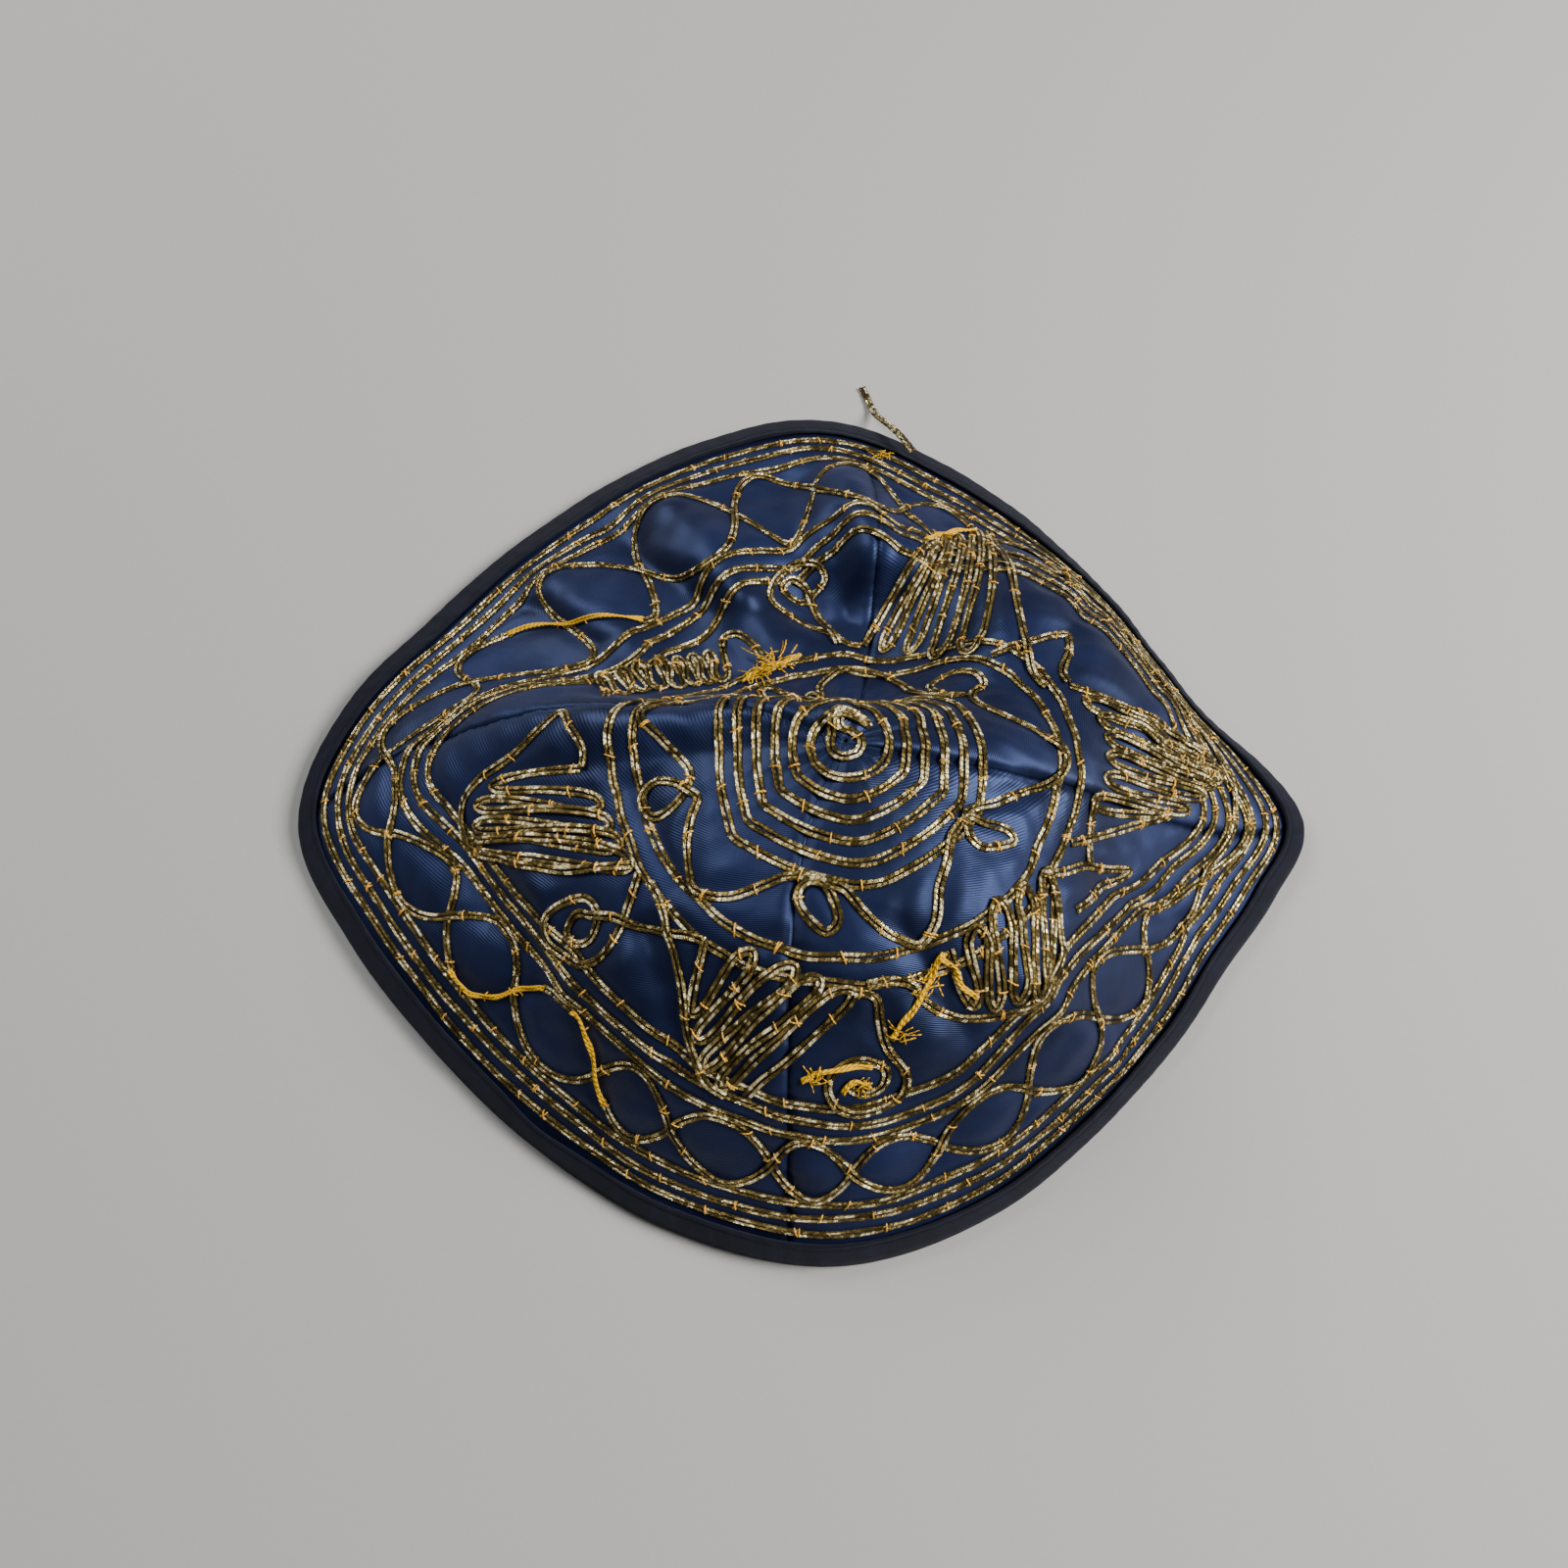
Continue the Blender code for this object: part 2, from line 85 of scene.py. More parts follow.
# Lines of cord, in millimetres from the rim or the crown, as in the solids
RIM_LINE_START = 5.75
RIM_LINE_PITCH = 3.0
INNER_LINE_START = 25.2
INNER_LINE_PITCH = 3.1
CROWN_RING = 35.0
CROWN_RING_LEAN = 2.5
CROWN_RING_PITCH = 4.0
SPIRAL_HEART_SIZE = 3.3
SPIRAL_GROWTH = 3.3
SPIRAL_LAPS = 6.3

# A comb's round turns, in millimetres: half their width and their depth
COMB_TURN_AT_CROWN = 1.15
COMB_TURN_AT_RIM = 0.85
COMB_TURN_DEPTH = 1.6

# How cords lie: the space between stations and the reach of a crossing in millimetres, and the
# lift from the cloth and over another cord in shares of a strand's height
STATION_STEP = 0.7
CROSSING_REACH = 1.7
CORD_LIFT = 0.42
CROSSING_LIFT = 1.05

# The bare core, in millimetres: half its thickness, its place beside the middle and its lift
CORE_THICKNESS = 0.25
CORE_BESIDE = 0.20
CORE_LIFT = 0.62

# The satin's relief, in millimetres
PUFF_REACH = 2.6
SEAM_SINK = 0.55
SEAM_SINK_REACH = 0.9
SEAM_STITCH = 2.6
SEAM_STITCH_DEPTH = 0.12
SEAM_STITCH_REACH = 1.6

# The groove of the tape's stitching in millimetres, and the join of its ends: the turn at which it
# lies, how many degrees it spreads and how many millimetres the tape narrows there
TAPE_GROOVE = 0.22
TAPE_JOIN = 235
TAPE_JOIN_SPREAD = 5
TAPE_JOIN_NARROWS = 0.9

# How finely the meshes are drawn
FORM_TURNS = 720
FORM_STEPS = 240
GORE_COLUMNS = 100
GORE_ROWS = 108
TAPE_STATIONS = 420
CORD_SIDES = 8
STITCH_SIDES = 5
FIBRE_SIDES = 4

# The stage: the place in millimetres that the camera looks at, the lens and sensor in millimetres,
# the camera's nearest and farthest sight and half the floor's width in metres
AIM = (-2.92, 1.59, 0)
LENS = 27
SENSOR = 36
SIGHT = (0.01, 20)
FLOOR_HALF = 3.0
LIGHTS = (
    # name, energy, size, place, colour
    ("window", 17.0, 0.34, (0.60, -0.02, 0.54), (1.0, 0.98, 0.95)),
    ("reflector", 7.5, 0.45, (-0.46, 0.44, 0.56), (0.97, 0.98, 1.0)),
)
SKY_COLOUR = (0.92, 0.95, 1.0)
SKY_STRENGTH = 0.15

# The cap's form, as in the solids. Reach is a share of half the length and half the width, and
# heights are shares of the crown height.
CROWN_AT = (0.070, -0.090)
HEIGHT_AT = (0.08, 0.14, 0.20, 0.30, 0.45, 0.60, 0.80)
SECTIONS = (
    # azimuth, reach, height at 0.08, 0.14, 0.20, 0.30, 0.45, 0.60 and 0.80 of the reach
    (0, 0.925, 0.985, 0.965, 0.94, 0.88, 0.74, 0.53, 0.27),
    (8, 0.873, 0.98, 0.955, 0.93, 0.87, 0.76, 0.60, 0.35),
    (18, 0.806, 0.97, 0.94, 0.91, 0.84, 0.74, 0.66, 0.45),
    (30, 0.790, 0.97, 0.94, 0.89, 0.78, 0.69, 0.65, 0.49),
    (45, 0.820, 0.97, 0.92, 0.81, 0.66, 0.60, 0.59, 0.46),
    (60, 0.886, 0.98, 0.86, 0.64, 0.50, 0.45, 0.48, 0.31),
    (75, 0.984, 0.97, 0.72, 0.53, 0.39, 0.34, 0.42, 0.21),
    (90, 1.084, 0.97, 0.66, 0.50, 0.38, 0.30, 0.37, 0.18),
    (105, 1.058, 0.98, 0.69, 0.51, 0.38, 0.28, 0.32, 0.17),
    (120, 1.015, 0.99, 0.80, 0.58, 0.41, 0.27, 0.28, 0.16),
    (135, 0.988, 0.99, 0.94, 0.74, 0.48, 0.30, 0.28, 0.15),
    (150, 0.994, 0.99, 0.98, 0.93, 0.70, 0.42, 0.31, 0.15),
    (165, 1.043, 0.98, 0.95, 0.92, 0.87, 0.75, 0.56, 0.24),
    (180, 1.062, 0.97, 0.93, 0.89, 0.82, 0.69, 0.50, 0.27),
    (195, 0.969, 0.98, 0.95, 0.92, 0.85, 0.72, 0.54, 0.28),
    (210, 0.903, 0.98, 0.96, 0.94, 0.89, 0.78, 0.60, 0.32),
    (230, 0.877, 0.99, 0.98, 0.96, 0.93, 0.85, 0.68, 0.36),
    (250, 0.893, 1.00, 0.99, 0.98, 0.96, 0.89, 0.73, 0.40),
    (270, 0.908, 1.01, 1.00, 0.99, 0.97, 0.91, 0.75, 0.40),
    (288, 0.858, 1.01, 1.00, 0.99, 0.97, 0.91, 0.77, 0.43),
    (306, 0.800, 1.00, 0.99, 0.98, 0.96, 0.89, 0.77, 0.43),
    (322, 0.786, 1.00, 0.98, 0.97, 0.94, 0.86, 0.71, 0.39),
    (338, 0.806, 0.99, 0.97, 0.95, 0.91, 0.80, 0.61, 0.32),
    (350, 0.868, 0.98, 0.96, 0.94, 0.89, 0.76, 0.54, 0.27),
)

# Ridges and dents, as in the solids and then the finer creases that only the satin has. Ends are
# shares of half the length and half the width, widths of half the length, heights of the crown's.
FOLDS = (
    # start x, start y, end x, end y, width, height
    (0.15, 0.50, 0.10, 0.74, 0.045, 0.11),
    (-0.06, 0.30, -0.28, 0.70, 0.050, 0.08),
    (0.02, 0.38, -0.04, 0.78, 0.045, -0.07),
    (-0.30, 0.22, -0.52, 0.50, 0.050, 0.07),
    (-0.20, 0.42, -0.40, 0.66, 0.040, -0.05),
    (0.36, 0.20, 0.42, 0.46, 0.050, 0.05),
    (-0.34, -0.50, -0.16, -0.72, 0.060, 0.05),
    (0.30, -0.42, 0.46, -0.58, 0.060, 0.05),
    (-0.62, -0.20, -0.44, -0.44, 0.060, -0.04),
    (0.10, -0.62, 0.22, -0.80, 0.050, -0.04),
)
CREASES = (
    # start x, start y, end x, end y, width, height
    (-0.40, 0.30, -0.56, 0.44, 0.020, -0.030),
    (-0.12, 0.40, -0.30, 0.58, 0.020, 0.030),
    (0.10, 0.36, 0.08, 0.62, 0.018, -0.030),
    (0.22, 0.44, 0.26, 0.66, 0.020, 0.028),
    (0.50, 0.24, 0.60, 0.40, 0.022, -0.026),
    (0.62, 0.02, 0.74, 0.16, 0.022, 0.026),
    (0.52, -0.30, 0.72, -0.34, 0.022, -0.030),
    (0.36, -0.52, 0.56, -0.62, 0.020, 0.026),
    (0.16, -0.44, 0.26, -0.60, 0.022, -0.028),
    (-0.06, -0.50, -0.04, -0.74, 0.024, 0.024),
    (-0.26, -0.42, -0.20, -0.62, 0.020, -0.030),
    (-0.50, -0.24, -0.40, -0.50, 0.022, 0.028),
    (-0.66, -0.10, -0.56, -0.34, 0.022, -0.030),
    (-0.74, 0.04, -0.84, 0.02, 0.020, 0.024),
    (-0.28, -0.14, -0.20, -0.34, 0.020, -0.022),
    (0.26, -0.20, 0.40, -0.14, 0.020, -0.022),
)

# Each seam's azimuth on its way from the crown to the rim
SEAM_AT = (0.0, 0.20, 0.40, 0.60, 0.80, 1.0)
SEAMS = (
    # name, azimuth at each share of the reach
    ("right", -14, -8, -6, -5.5, -4.5, -0.5),
    ("back", 76, 78, 80, 82, 84, 86),
    ("left", 150, 153, 162, 167, 171, 180),
    ("front", 246, 250, 256, 260, 262.5, 264),
)
GORES = (
    # piece, the node it stands for, the turn of its first seam, how much its satin's colour is
    # scaled to paint that gore's sheen lighter or darker, how much its twill leans
    ("back_right_gore", "gore_back_right", 0, 0.95, -0.62),
    ("back_left_gore", "gore_back_left", 90, 1.05, 0.62),
    ("front_left_gore", "gore_front_left", 180, 1.02, 0.62),
    ("front_right_gore", "gore_front_right", 270, 0.97, -0.62),
)
CORNER_CROWDING = 0.3

# The inner lines' waves and their drift up the wall, as in the solids
INNER_LINES = (
    # wave height, waves round the cap, turn of the wave
    (0.12, 9, 0.0),
    (0.10, 7, 1.3),
    (0.10, 9, 0.4),
)
INNER_DRIFT = (
    # turn, drift
    (0, -0.30),
    (15, -0.33),
    (45, -0.30),
    (72, -0.10),
    (95, 0.36),
    (125, 0.42),
    (150, 0.36),
    (167, 0.14),
    (185, -0.06),
    (210, 0.02),
    (240, 0.12),
    (262, 0.08),
    (285, -0.04),
    (312, 0.22),
    (326, 0.06),
    (342, -0.22),
)

# Where the two waves of the lattice cross, one turn for each crossing
LATTICE_TURNS = (7, 22, 38, 54, 70, 85, 99, 113, 132, 149, 166, 179,
                 192, 207, 223, 241, 254, 268, 278, 290, 304, 319, 335, 351)

# Combs: the cord runs to and fro between the ends near the crown and the ends near the rim
COMBS = {
    "left": (
        # turn and distance of an end near the crown, turn and distance of one near the rim
        (196, 44.0, 192, 63.0),
        (207, 40.5, 194, 66.5),
        (213, 39.5, 197, 67.5),
        (219, 38.5, 200, 68.0),
        (225, 38.0, 198, 71.0),
    ),
    "front": (
        (251, 36.5, 253, 47.5),
        (262, 34.5, 255, 51.0),
        (271, 34.5, 257, 54.5),
        (276, 35.5, 260, 56.5),
        (282, 37.0, 264, 57.0),
    ),
    "front_right": (
        (303, 34.5, 302, 44.5),
        (310, 33.5, 305, 46.5),
        (318, 32.5, 309, 47.5),
        (326, 34.0, 312, 48.5),
        (334, 36.5, 315, 48.0),
    ),
    "right": (
        (31, 43.5, 12, 73.0),
        (26, 44.5, 10, 75.0),
        (21, 46.0, 9, 74.0),
        (16, 46.5, 8, 72.0),
        (11, 46.0, 6, 69.5),
        (5, 45.0, 3, 66.0),
        (358, 42.5, 1, 61.5),
    ),
    "back_right": (
        (92, 45.0, 79, 68.0),
        (85, 44.0, 77, 71.0),
        (76, 42.5, 75, 74.0),
        (66, 39.5, 72, 76.5),
        (57, 38.5, 70, 77.5),
    ),
    "back_left": (
        (170, 50.5, 160, 59.5),
        (166, 50.0, 157, 57.0),
        (163, 48.5, 154, 55.5),
        (160, 47.0, 150, 54.0),
        (157, 45.5, 146, 53.5),
        (153, 44.8, 142, 53.0),
        (149, 44.0, 138, 52.0),
        (145, 43.0, 134, 51.0),
    ),
}

# Free lines of cord, by turn and distance from the crown
STAR = (
    (186, 33.5), (194, 29.5), (202, 26.5), (211, 24.5), (216, 25.5), (219, 29.0), (217, 32.5),
    (211, 33.5), (208, 31.0), (211, 27.5), (217, 25.0), (221, 24.0), (226, 26.0), (231, 28.0),
    (238, 30.5), (242, 31.6), (246, 31.0), (252, 29.0), (256, 27.0), (261, 24.5), (266, 22.5),
    (273, 21.5), (278, 22.0), (281, 25.0), (281, 27.5), (278, 29.0), (275, 28.0), (271, 25.5),
    (271, 23.5), (274, 22.0), (279, 22.0), (284, 22.5), (287, 25.0), (290, 28.0), (293, 30.5),
    (298, 32.2), (303, 30.3), (309, 26.0), (316, 23.5), (325, 21.0), (334, 21.6), (336, 24.0),
    (338, 28.0), (336, 29.5), (331, 27.5), (328, 25.5), (329, 23.0), (335, 21.2), (345, 24.5),
    (353, 28.5), (0, 34.0), (6, 36.2), (10, 36.2), (17, 32.5), (24, 29.5), (31, 27.5), (38, 27.0),
    (43, 29.0), (44, 32.0), (50, 34.0), (57, 33.5), (60, 30.5), (56, 27.5), (49, 26.5), (44, 27.5),
    (48, 25.5), (56, 25.5), (64, 28.5), (72, 33.0), (81, 36.6), (91, 38.0), (103, 36.8),
    (113, 33.0), (116, 28.0), (121, 25.5), (124, 28.5), (120, 30.5), (117, 27.5), (121, 24.0),
    (128, 27.0), (133, 32.0), (137, 35.3), (142, 34.0), (149, 28.5), (156, 25.5), (162, 27.0),
    (163, 30.5), (158, 31.5), (155, 28.5), (160, 25.0), (168, 25.5), (177, 29.5),
)
SPIRAL_HEART = (
    (120, 4.4), (125, 2.6), (80, 2.0), (20, 2.3), (330, 2.5), (285, 2.6), (240, 2.4), (195, 2.3),
    (150, 2.9), (128, 4.8), (95, 4.6), (60, 4.6),
)
# Turns at which the outer rounds of the spiral have their corners
SPIRAL_CORNERS = (41, 178, 243, 292, 341)
CURLS = {
    "left_bow": (
        (225, 38.0), (221, 42.0), (214, 51.0), (205, 62.0), (199, 70.0), (193, 70.0), (190, 66.0),
        (188, 58.0), (184, 51.5), (182, 49.0), (186, 46.0), (191, 43.5), (196, 43.5),
    ),
    "front_left_curl": (
        (228, 37.4), (231, 41.5), (233, 46.0), (233, 51.0), (231, 54.5), (227, 57.0), (222, 58.5),
        (219, 56.5), (220, 51.5), (223, 47.8), (227, 47.5), (229, 51.0), (227, 54.0), (224, 54.5),
        (223, 51.5), (226, 48.5), (231, 44.5), (236, 42.5), (242, 39.5), (248, 37.0), (251, 36.5),
    ),
    "front_left_arm": (
        (232, 36.5), (238, 37.2), (243, 39.5), (248, 43.0), (251, 46.5), (253, 50.5), (256, 54.0),
        (258, 56.5), (261, 57.5),
    ),
    "front_curl": (
        (282, 37.0), (286, 38.5), (286, 42.5), (286, 47.0), (288, 52.5), (287, 55.5), (284, 57.5),
        (280, 58.2), (277, 56.5), (276, 53.0), (278, 49.8), (282, 49.0), (285, 51.0), (284, 54.0),
        (281, 55.0), (279, 53.5),
    ),
    "front_right_hook": (
        (285, 36.2), (290, 36.2), (293, 37.6), (294, 40.5), (297, 44.0), (304, 47.5), (311, 49.5),
        (316, 48.6),
    ),
    "front_right_arm": (
        (334, 36.5), (331, 39.0), (326, 42.5), (321, 46.5), (315, 48.0),
    ),
    "arrow": (
        (332, 35.8), (337, 40.0), (342, 44.0), (345, 49.5), (347, 54.5), (344, 52.5), (340, 49.5),
        (335, 47.0), (331, 45.0),
    ),
    "right_arm": (
        (358, 42.5), (350, 43.2), (343, 44.5),
    ),
    "right_line": (
        (345, 39.5), (352, 47.0), (358, 55.5), (1, 61.5),
    ),
    "back_right_chevron": (
        (51, 38.5), (49, 41.0), (47, 45.0), (44, 52.5), (40, 49.0), (36, 44.5), (32, 43.5),
    ),
    "back_right_arm": (
        (70, 77.5), (64, 64.0), (57, 52.0), (48, 44.0), (40, 40.0), (33, 39.5),
    ),
    "back_curl": (
        (93, 44.5), (98, 45.0), (104, 48.5), (111, 53.0), (116, 56.5), (114, 60.5), (110, 64.0),
        (106, 65.5), (102, 64.0), (101, 61.0), (104, 59.0), (109, 58.0), (112, 60.0), (109, 62.5),
        (106, 61.0), (105, 56.0), (103, 50.0), (101, 44.5),
    ),
    "back_left_arch": (
        (134, 51.0), (131, 52.8), (128, 51.5), (127, 48.0), (128, 43.5), (130, 40.5),
    ),
}

# Stretches where the bright wrapping has come off and the yellow core is left
BARE_CORE = {
    "front_right": ((302, 34.5), (297, 37.5), (292, 41.0), (287, 45.5)),
    "front_right_end": ((301, 34.8), (302, 37.0), (302, 40.5), (303, 43.0)),
    "front_curl": ((272, 52.0), (276, 50.2), (279, 49.8), (283, 50.0)),
    "front_knot": ((278, 54.0), (280, 52.2), (282, 53.5)),
    "back_left": ((142, 39.0), (135, 40.5), (128, 41.0), (121, 41.5), (116, 42.3)),
    "back_right": ((81, 67.0), (79, 70.0), (76, 74.0), (72, 77.0)),
}
LATTICE_BARE = (
    # the wave, and the turns between which its core is bare
    (0, 143, 153),
    (0, 213, 227),
    (0, 234, 243),
)

# Where the cord's loose end lies, from the rim line over the tape to the floor, in millimetres
LOOSE_END = (
    # x, y, z
    (23.0, 70.0, 7.6),
    (21.0, 74.0, 6.6),
    (19.0, 77.5, 5.4),
    (17.2, 80.4, 4.0),
    (16.4, 82.8, 2.1),
    (15.5, 85.8, 0.75),
    (14.6, 88.6, 0.45),
    (13.7, 91.2, 0.45),
)

# Tufts of frayed core: turn and distance of the middle, spread and number of fibres
TUFTS = (
    (137, 40.0, 3.0, 22),
    (125, 41.6, 3.2, 26),
    (296, 38.5, 2.4, 16),
    (289, 45.0, 2.0, 12),
    (274, 51.5, 2.2, 14),
    (281, 53.0, 1.6, 14),
    (78, 71.0, 2.0, 12),
    (88, 100.0, 2.2, 14),
)


class SkullcapCloth(bpy.types.PropertyGroup):
    """Sizes and colours of the satin and the edge tape."""

    puff: FloatProperty(
        name="Puff", description="How far the satin stands up between the lines of cord",
        default=0.75 * MM, unit="LENGTH")
    twill: FloatProperty(
        name="Twill", description="Width of one rib of the satin's twill",
        default=0.42 * MM, unit="LENGTH")
    satin: FloatVectorProperty(
        name="Satin", description="Colour of the satin in the shade",
        default=(0.0026, 0.0032, 0.0085), subtype="COLOR")
    # The satin's lit colour, mixed with the shade colour above: painted sheen on the twill's ribs
    # and in broad patches.
    satin_painted_sheen: FloatVectorProperty(
        name="Satin rib", description="Colour on top of the satin's ribs",
        default=(0.0085, 0.0125, 0.044), subtype="COLOR")
    tape: FloatVectorProperty(
        name="Tape", description="Colour of the edge tape",
        default=(0.0022, 0.0026, 0.0065), subtype="COLOR")
    weave: FloatProperty(
        name="Tape weave", description="Width of one thread of the edge tape",
        default=0.36 * MM, unit="LENGTH")


class SkullcapCord(bpy.types.PropertyGroup):
    """Sizes and colours of the couched cord."""

    width: FloatProperty(
        name="Strand width", description="Width of one wrapped strand",
        default=0.70 * MM, unit="LENGTH")
    height: FloatProperty(
        name="Strand height", description="Height of one wrapped strand",
        default=0.44 * MM, unit="LENGTH")
    gap: FloatProperty(
        name="Gap", description="Space between the two strands of a line",
        default=0.10 * MM, unit="LENGTH")
    wrap: FloatProperty(
        name="Wrap", description="Length of cord that one turn of the wrapping covers",
        default=0.85 * MM, unit="LENGTH")
    stitch_spacing: FloatProperty(
        name="Stitch spacing", description="Length of cord from one couching stitch to the next",
        default=12.0 * MM, unit="LENGTH")
    stitch: FloatProperty(
        name="Stitch thread", description="Thickness of the couching thread",
        default=0.27 * MM, unit="LENGTH")
    # Pale gold paints the glints: the turns marked bright take it, with less metal, as a painted
    # highlight.
    pale: FloatVectorProperty(
        name="Pale gold", description="Colour of the wrapping where it is bright",
        default=(1.0, 0.88, 0.54), subtype="COLOR")
    gold: FloatVectorProperty(
        name="Gold", description="Colour of most of the wrapping",
        default=(0.300, 0.212, 0.060), subtype="COLOR")
    # Brown is the dark end of the wrapping's ramp, where no glint is painted: partly the foil's
    # worn tone, partly painted shade.
    brown: FloatVectorProperty(
        name="Brown", description="Colour of the wrapping where it is worn",
        default=(0.066, 0.048, 0.016), subtype="COLOR")
    core: FloatVectorProperty(
        name="Core", description="Colour of the cord's cotton core",
        default=(0.86, 0.47, 0.010), subtype="COLOR")
    thread: FloatVectorProperty(
        name="Thread", description="Colour of the couching thread",
        default=(0.85, 0.42, 0.025), subtype="COLOR")


class SkullcapStage(bpy.types.PropertyGroup):
    """The camera and the floor."""

    elevation: FloatProperty(
        name="Elevation", description="How far above the horizon the camera stands",
        default=math.radians(70), subtype="ANGLE")
    distance: FloatProperty(
        name="Distance", description="Space between the camera and the point it looks at",
        default=0.220, unit="LENGTH")
    floor: FloatVectorProperty(
        name="Floor", description="Colour of the floor",
        default=(0.290, 0.285, 0.275), subtype="COLOR")


def smooth_curve(x, knots, values):
    """Read a smooth curve through the knots at x. The last axis of knots and values counts them."""
    spans = np.diff(knots, axis=-1)
    chords = np.diff(values, axis=-1) / spans
    middle = (chords[..., :-1] * spans[..., 1:] + chords[..., 1:] * spans[..., :-1])
    middle = middle / (spans[..., :-1] + spans[..., 1:])
    slopes = np.concatenate([chords[..., :1], middle, chords[..., -1:]], axis=-1)
    span = (x[..., None] >= knots[..., 1:-1]).sum(axis=-1)[..., None]

    def pick(table, index):
        return np.take_along_axis(table, index, axis=-1)[..., 0]

    width = pick(spans, span)
    t = (x - pick(knots, span)) / width
    low, high = pick(values, span), pick(values, span + 1)
    rise = low + (high - low) * t * t * (3 - 2 * t)
    start = pick(slopes, span) * t * (1 - t) ** 2
    end = pick(slopes, span + 1) * t * t * (t - 1)
    return rise + width * (start + end)


def curve_through(x, knots, values):
    """Read one smooth curve at every x."""
    shape = x.shape + knots.shape
    return smooth_curve(x, np.broadcast_to(knots, shape), np.broadcast_to(values, shape))


def unit(vectors):
    """Scale each vector to a length of one."""
    return vectors / np.maximum(np.linalg.norm(vectors, axis=-1, keepdims=True), 1e-9)


def scaled(vectors, length):
    """Scale each vector to one length."""
    return vectors * (length / np.maximum(np.linalg.norm(vectors, axis=1, keepdims=True), 1e-9))


def tree_of(points):
    """Make a search tree of some points."""
    tree = KDTree(len(points))
    for i, point in enumerate(points):
        tree.insert(point, i)
    tree.balance()
    return tree


def round_the_cap(angle, column, rows=SECTIONS):
    """Read one column of a table at each azimuth or turn, smoothly all the way round."""
    table = np.array(rows, float)
    lap = np.concatenate([table[-2:, 0] - 360, table[:, 0], table[:2, 0] + 360])
    values = np.concatenate([table[-2:, column], table[:, column], table[:2, column]])
    return curve_through(np.asarray(angle, float) % 360, lap, values)


@lru_cache
def outline_box():
    """Give the middle and the half size of the outline, in the sections' own shares."""
    azimuth = np.arange(0, 360, 0.5)
    reach = round_the_cap(azimuth, 1)
    angle = np.radians(azimuth)
    plan = np.stack([CROWN_AT[0] + reach * np.cos(angle), CROWN_AT[1] + reach * np.sin(angle)])
    low, high = plan.min(axis=1), plan.max(axis=1)
    return (low + high) / 2, (high - low) / 2


def fold_height(plan):
    """Add up the ridges, dents and creases at each place of the plan, in shares of the height."""
    height = np.zeros(plan.shape[:-1])
    for x0, y0, x1, y1, width, rise in FOLDS + CREASES:
        start, end = np.array((x0, y0)), np.array((x1, y1))
        length = np.hypot(*(end - start))
        along_fold = (end - start) / length
        offset = plan - start
        along = offset @ along_fold
        across = offset @ np.array((-along_fold[1], along_fold[0]))
        beyond = np.maximum(np.maximum(-along, along - length), 0)
        height += rise * np.exp(-(across ** 2 + beyond ** 2) / (2 * width ** 2))
    return height


def surface(azimuth, share):
    """Give the middle of the cloth at each azimuth and share of the reach from crown to rim."""
    azimuth, share = np.broadcast_arrays(np.asarray(azimuth, float), np.asarray(share, float))
    reach = round_the_cap(azimuth, 1)
    across = round_the_cap(azimuth + 180, 1)
    first = HEIGHT_AT[0]
    steps = [-first * across / reach, 0 * reach] + [at + 0 * reach for at in HEIGHT_AT + (1.0,)]
    heights = [round_the_cap(azimuth + 180, 2), 1 + 0 * reach]
    heights += [round_the_cap(azimuth, 2 + i) for i in range(len(HEIGHT_AT))]
    heights.append(EDGE_HEIGHT / CROWN_HEIGHT + 0 * reach)
    height = smooth_curve(share, np.stack(steps, axis=-1), np.stack(heights, axis=-1))
    angle = np.radians(azimuth)
    plan = np.stack([CROWN_AT[0] + reach * share * np.cos(angle),
                     CROWN_AT[1] + reach * share * np.sin(angle)], axis=-1)
    height = height + fold_height(plan) * np.clip((1 - share) * 6, 0, 1)
    half = np.array((CAP_LENGTH, CAP_WIDTH)) / 2 - TAPE_OUTSIDE
    middle, size = outline_box()
    plan = (plan - middle) / size * half
    return np.concatenate([plan, (height * CROWN_HEIGHT)[..., None]], axis=-1)


def azimuth_of(turn, share):
    """Turn a turn about the crown into an azimuth, evenly between the seams on both sides."""
    seams = np.array([np.interp(share, SEAM_AT, row[1:]) for row in SEAMS])
    seams = np.concatenate([seams, seams[:1] + 360])
    place = turn % 360 / 90
    first = np.minimum(place.astype(int), 3)
    return seams[first] + (seams[first + 1] - seams[first]) * (place - first)[:, None]


@lru_cache
def cap_form():
    """Work out the cloth's middle on a grid of turns and even steps from crown to rim."""
    turn = np.arange(FORM_TURNS) * 360 / FORM_TURNS
    share = np.linspace(0, 1, FORM_STEPS + 1)
    points = surface(azimuth_of(turn, share), share[None, :])
    steps = np.linalg.norm(np.diff(points, axis=1), axis=2)
    travelled = np.concatenate([np.zeros((FORM_TURNS, 1)), np.cumsum(steps, axis=1)], axis=1)
    length = travelled[:, -1]
    even = np.array([[np.interp(share * lengths[-1], lengths, column[:, axis])
                      for axis in range(3)] for lengths, column in zip(travelled, points)])
    even = even.transpose(0, 2, 1)
    round_way = np.roll(even, -1, axis=0) - np.roll(even, 1, axis=0)
    normal = np.cross(np.gradient(even, axis=1), round_way)
    normal[:, 0] = normal[:, 3].mean(axis=0)
    normal /= np.linalg.norm(normal, axis=-1, keepdims=True)
    up_way = even[:, -1 - round(FORM_STEPS * 0.09)] - even[:, -1]
    rim_way = round_way[:, -1]
    flat = np.linalg.norm(np.cross(rim_way, up_way), axis=1)
    slant = np.linalg.norm(rim_way, axis=1) * np.linalg.norm(up_way, axis=1) / flat
    smooth = np.ones(25) / 25
    slant = np.convolve(np.concatenate([slant[-12:], slant, slant[:12]]), smooth, "valid")
    return even, normal, length, slant


